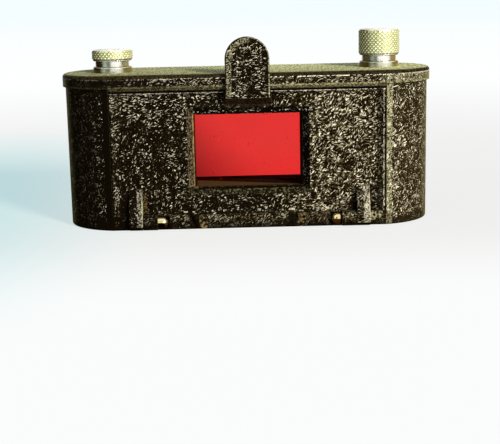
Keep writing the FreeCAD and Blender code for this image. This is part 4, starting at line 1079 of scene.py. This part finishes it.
def floor_glow(paint, from_centre):
    """What the floor shows without light: white in front and far off, a painted blue shadow at the left, and
    through the window's glass a painted shadow that runs from black to white and slants across behind it."""
    white = paint.mix(paint.step(from_centre, (500.0, 2500.0)), NEAR_WHITE, FAR_WHITE)
    from_blue = paint.vector("MULTIPLY", paint.vector("SUBTRACT", paint.place, BLUE_SHADOW_CENTRE),
                             (1.0 / BLUE_SHADOW_SIZE[0], 1.0 / BLUE_SHADOW_SIZE[1], 0.0))
    blue = paint.times(paint.step(paint.vector("LENGTH", from_blue), (1.3, 0.3)), paint.ray("Is Camera Ray"))
    across_window = paint.vector("DOT_PRODUCT", paint.place, (1.0, 0.129, 0.0))
    shadow_behind_glass = paint.mix(paint.step(across_window, (-35.5, 28.5), (0.02, 1.0)), BLACK, WHITE)
    glow = paint.add("ShaderNodeEmission")
    paint.put(glow.inputs["Color"],
              paint.mix(paint.glass_ray(), paint.mix(blue, white, FLOOR_BLUE_SHADOW), shadow_behind_glass))
    return glow


def mirrored_glow(paint, from_centre):
    """What bright metal reflects of the floor: brown close by, then the same as all round."""
    near = paint.step(from_centre, (190.0, 90.0))
    far = seen_in_mirrors(paint, paint.vector("NORMALIZE", paint.place))
    glow = paint.add("ShaderNodeEmission")
    paint.put(glow.inputs["Color"], paint.mix(near, far, MIRRORED_FLOOR))
    return glow


def mix_shaders(paint, share, first, second):
    node = paint.add("ShaderNodeMixShader")
    paint.put(node.inputs[0], share)
    paint.put(node.inputs[1], first.outputs[0])
    paint.put(node.inputs[2], second.outputs[0])
    return node


def pale_floor():
    """A wide floor that keeps the object's shadow and turns white in front and with distance."""
    half = FLOOR_HALF_WIDTH * MM
    mesh = bpy.data.meshes.new("floor")
    corners = [(-half, -half, 0), (half, -half, 0), (half, half, 0), (-half, half, 0)]
    mesh.from_pydata(corners, [], [(0, 1, 2, 3)])
    floor = add_object("floor", mesh)
    paint = Paint("pale_floor")
    paint.finish(paint.mix(paint.noise(0.01, 2.0), *FLOOR_PALE), 0.9, 0.0, specular_ior_level=0.05)
    from_centre = paint.vector("LENGTH", paint.place)
    far = paint.step(from_centre, (130.0, 600.0), (0.7, 1.0))
    white_share = paint.most(far, paint.step(paint.y, (-20.0, -110.0), (0.7, 0.93)))
    share = paint.most(paint.times(white_share, paint.ray("Is Camera Ray")), paint.glass_ray())
    lit = mix_shaders(paint, share, paint.shader, floor_glow(paint, from_centre))
    both = mix_shaders(paint, paint.mirror_ray(), lit, mirrored_glow(paint, from_centre))
    paint.put(paint.nodes["Material Output"].inputs["Surface"], both.outputs[0])
    mesh.materials.append(paint.material)


photo_camera()
surround()
pale_floor()
sun("key", toward=(0.62, -0.85, 0.37), spread=13.0, strength=3.8, color=(1.0, 0.95, 0.83))
sun("fill", toward=(-0.85, -0.6, 0.3), spread=40.0, strength=0.38, color=(0.90, 0.95, 0.90))
bpy.context.scene.view_settings.view_transform = "Standard"
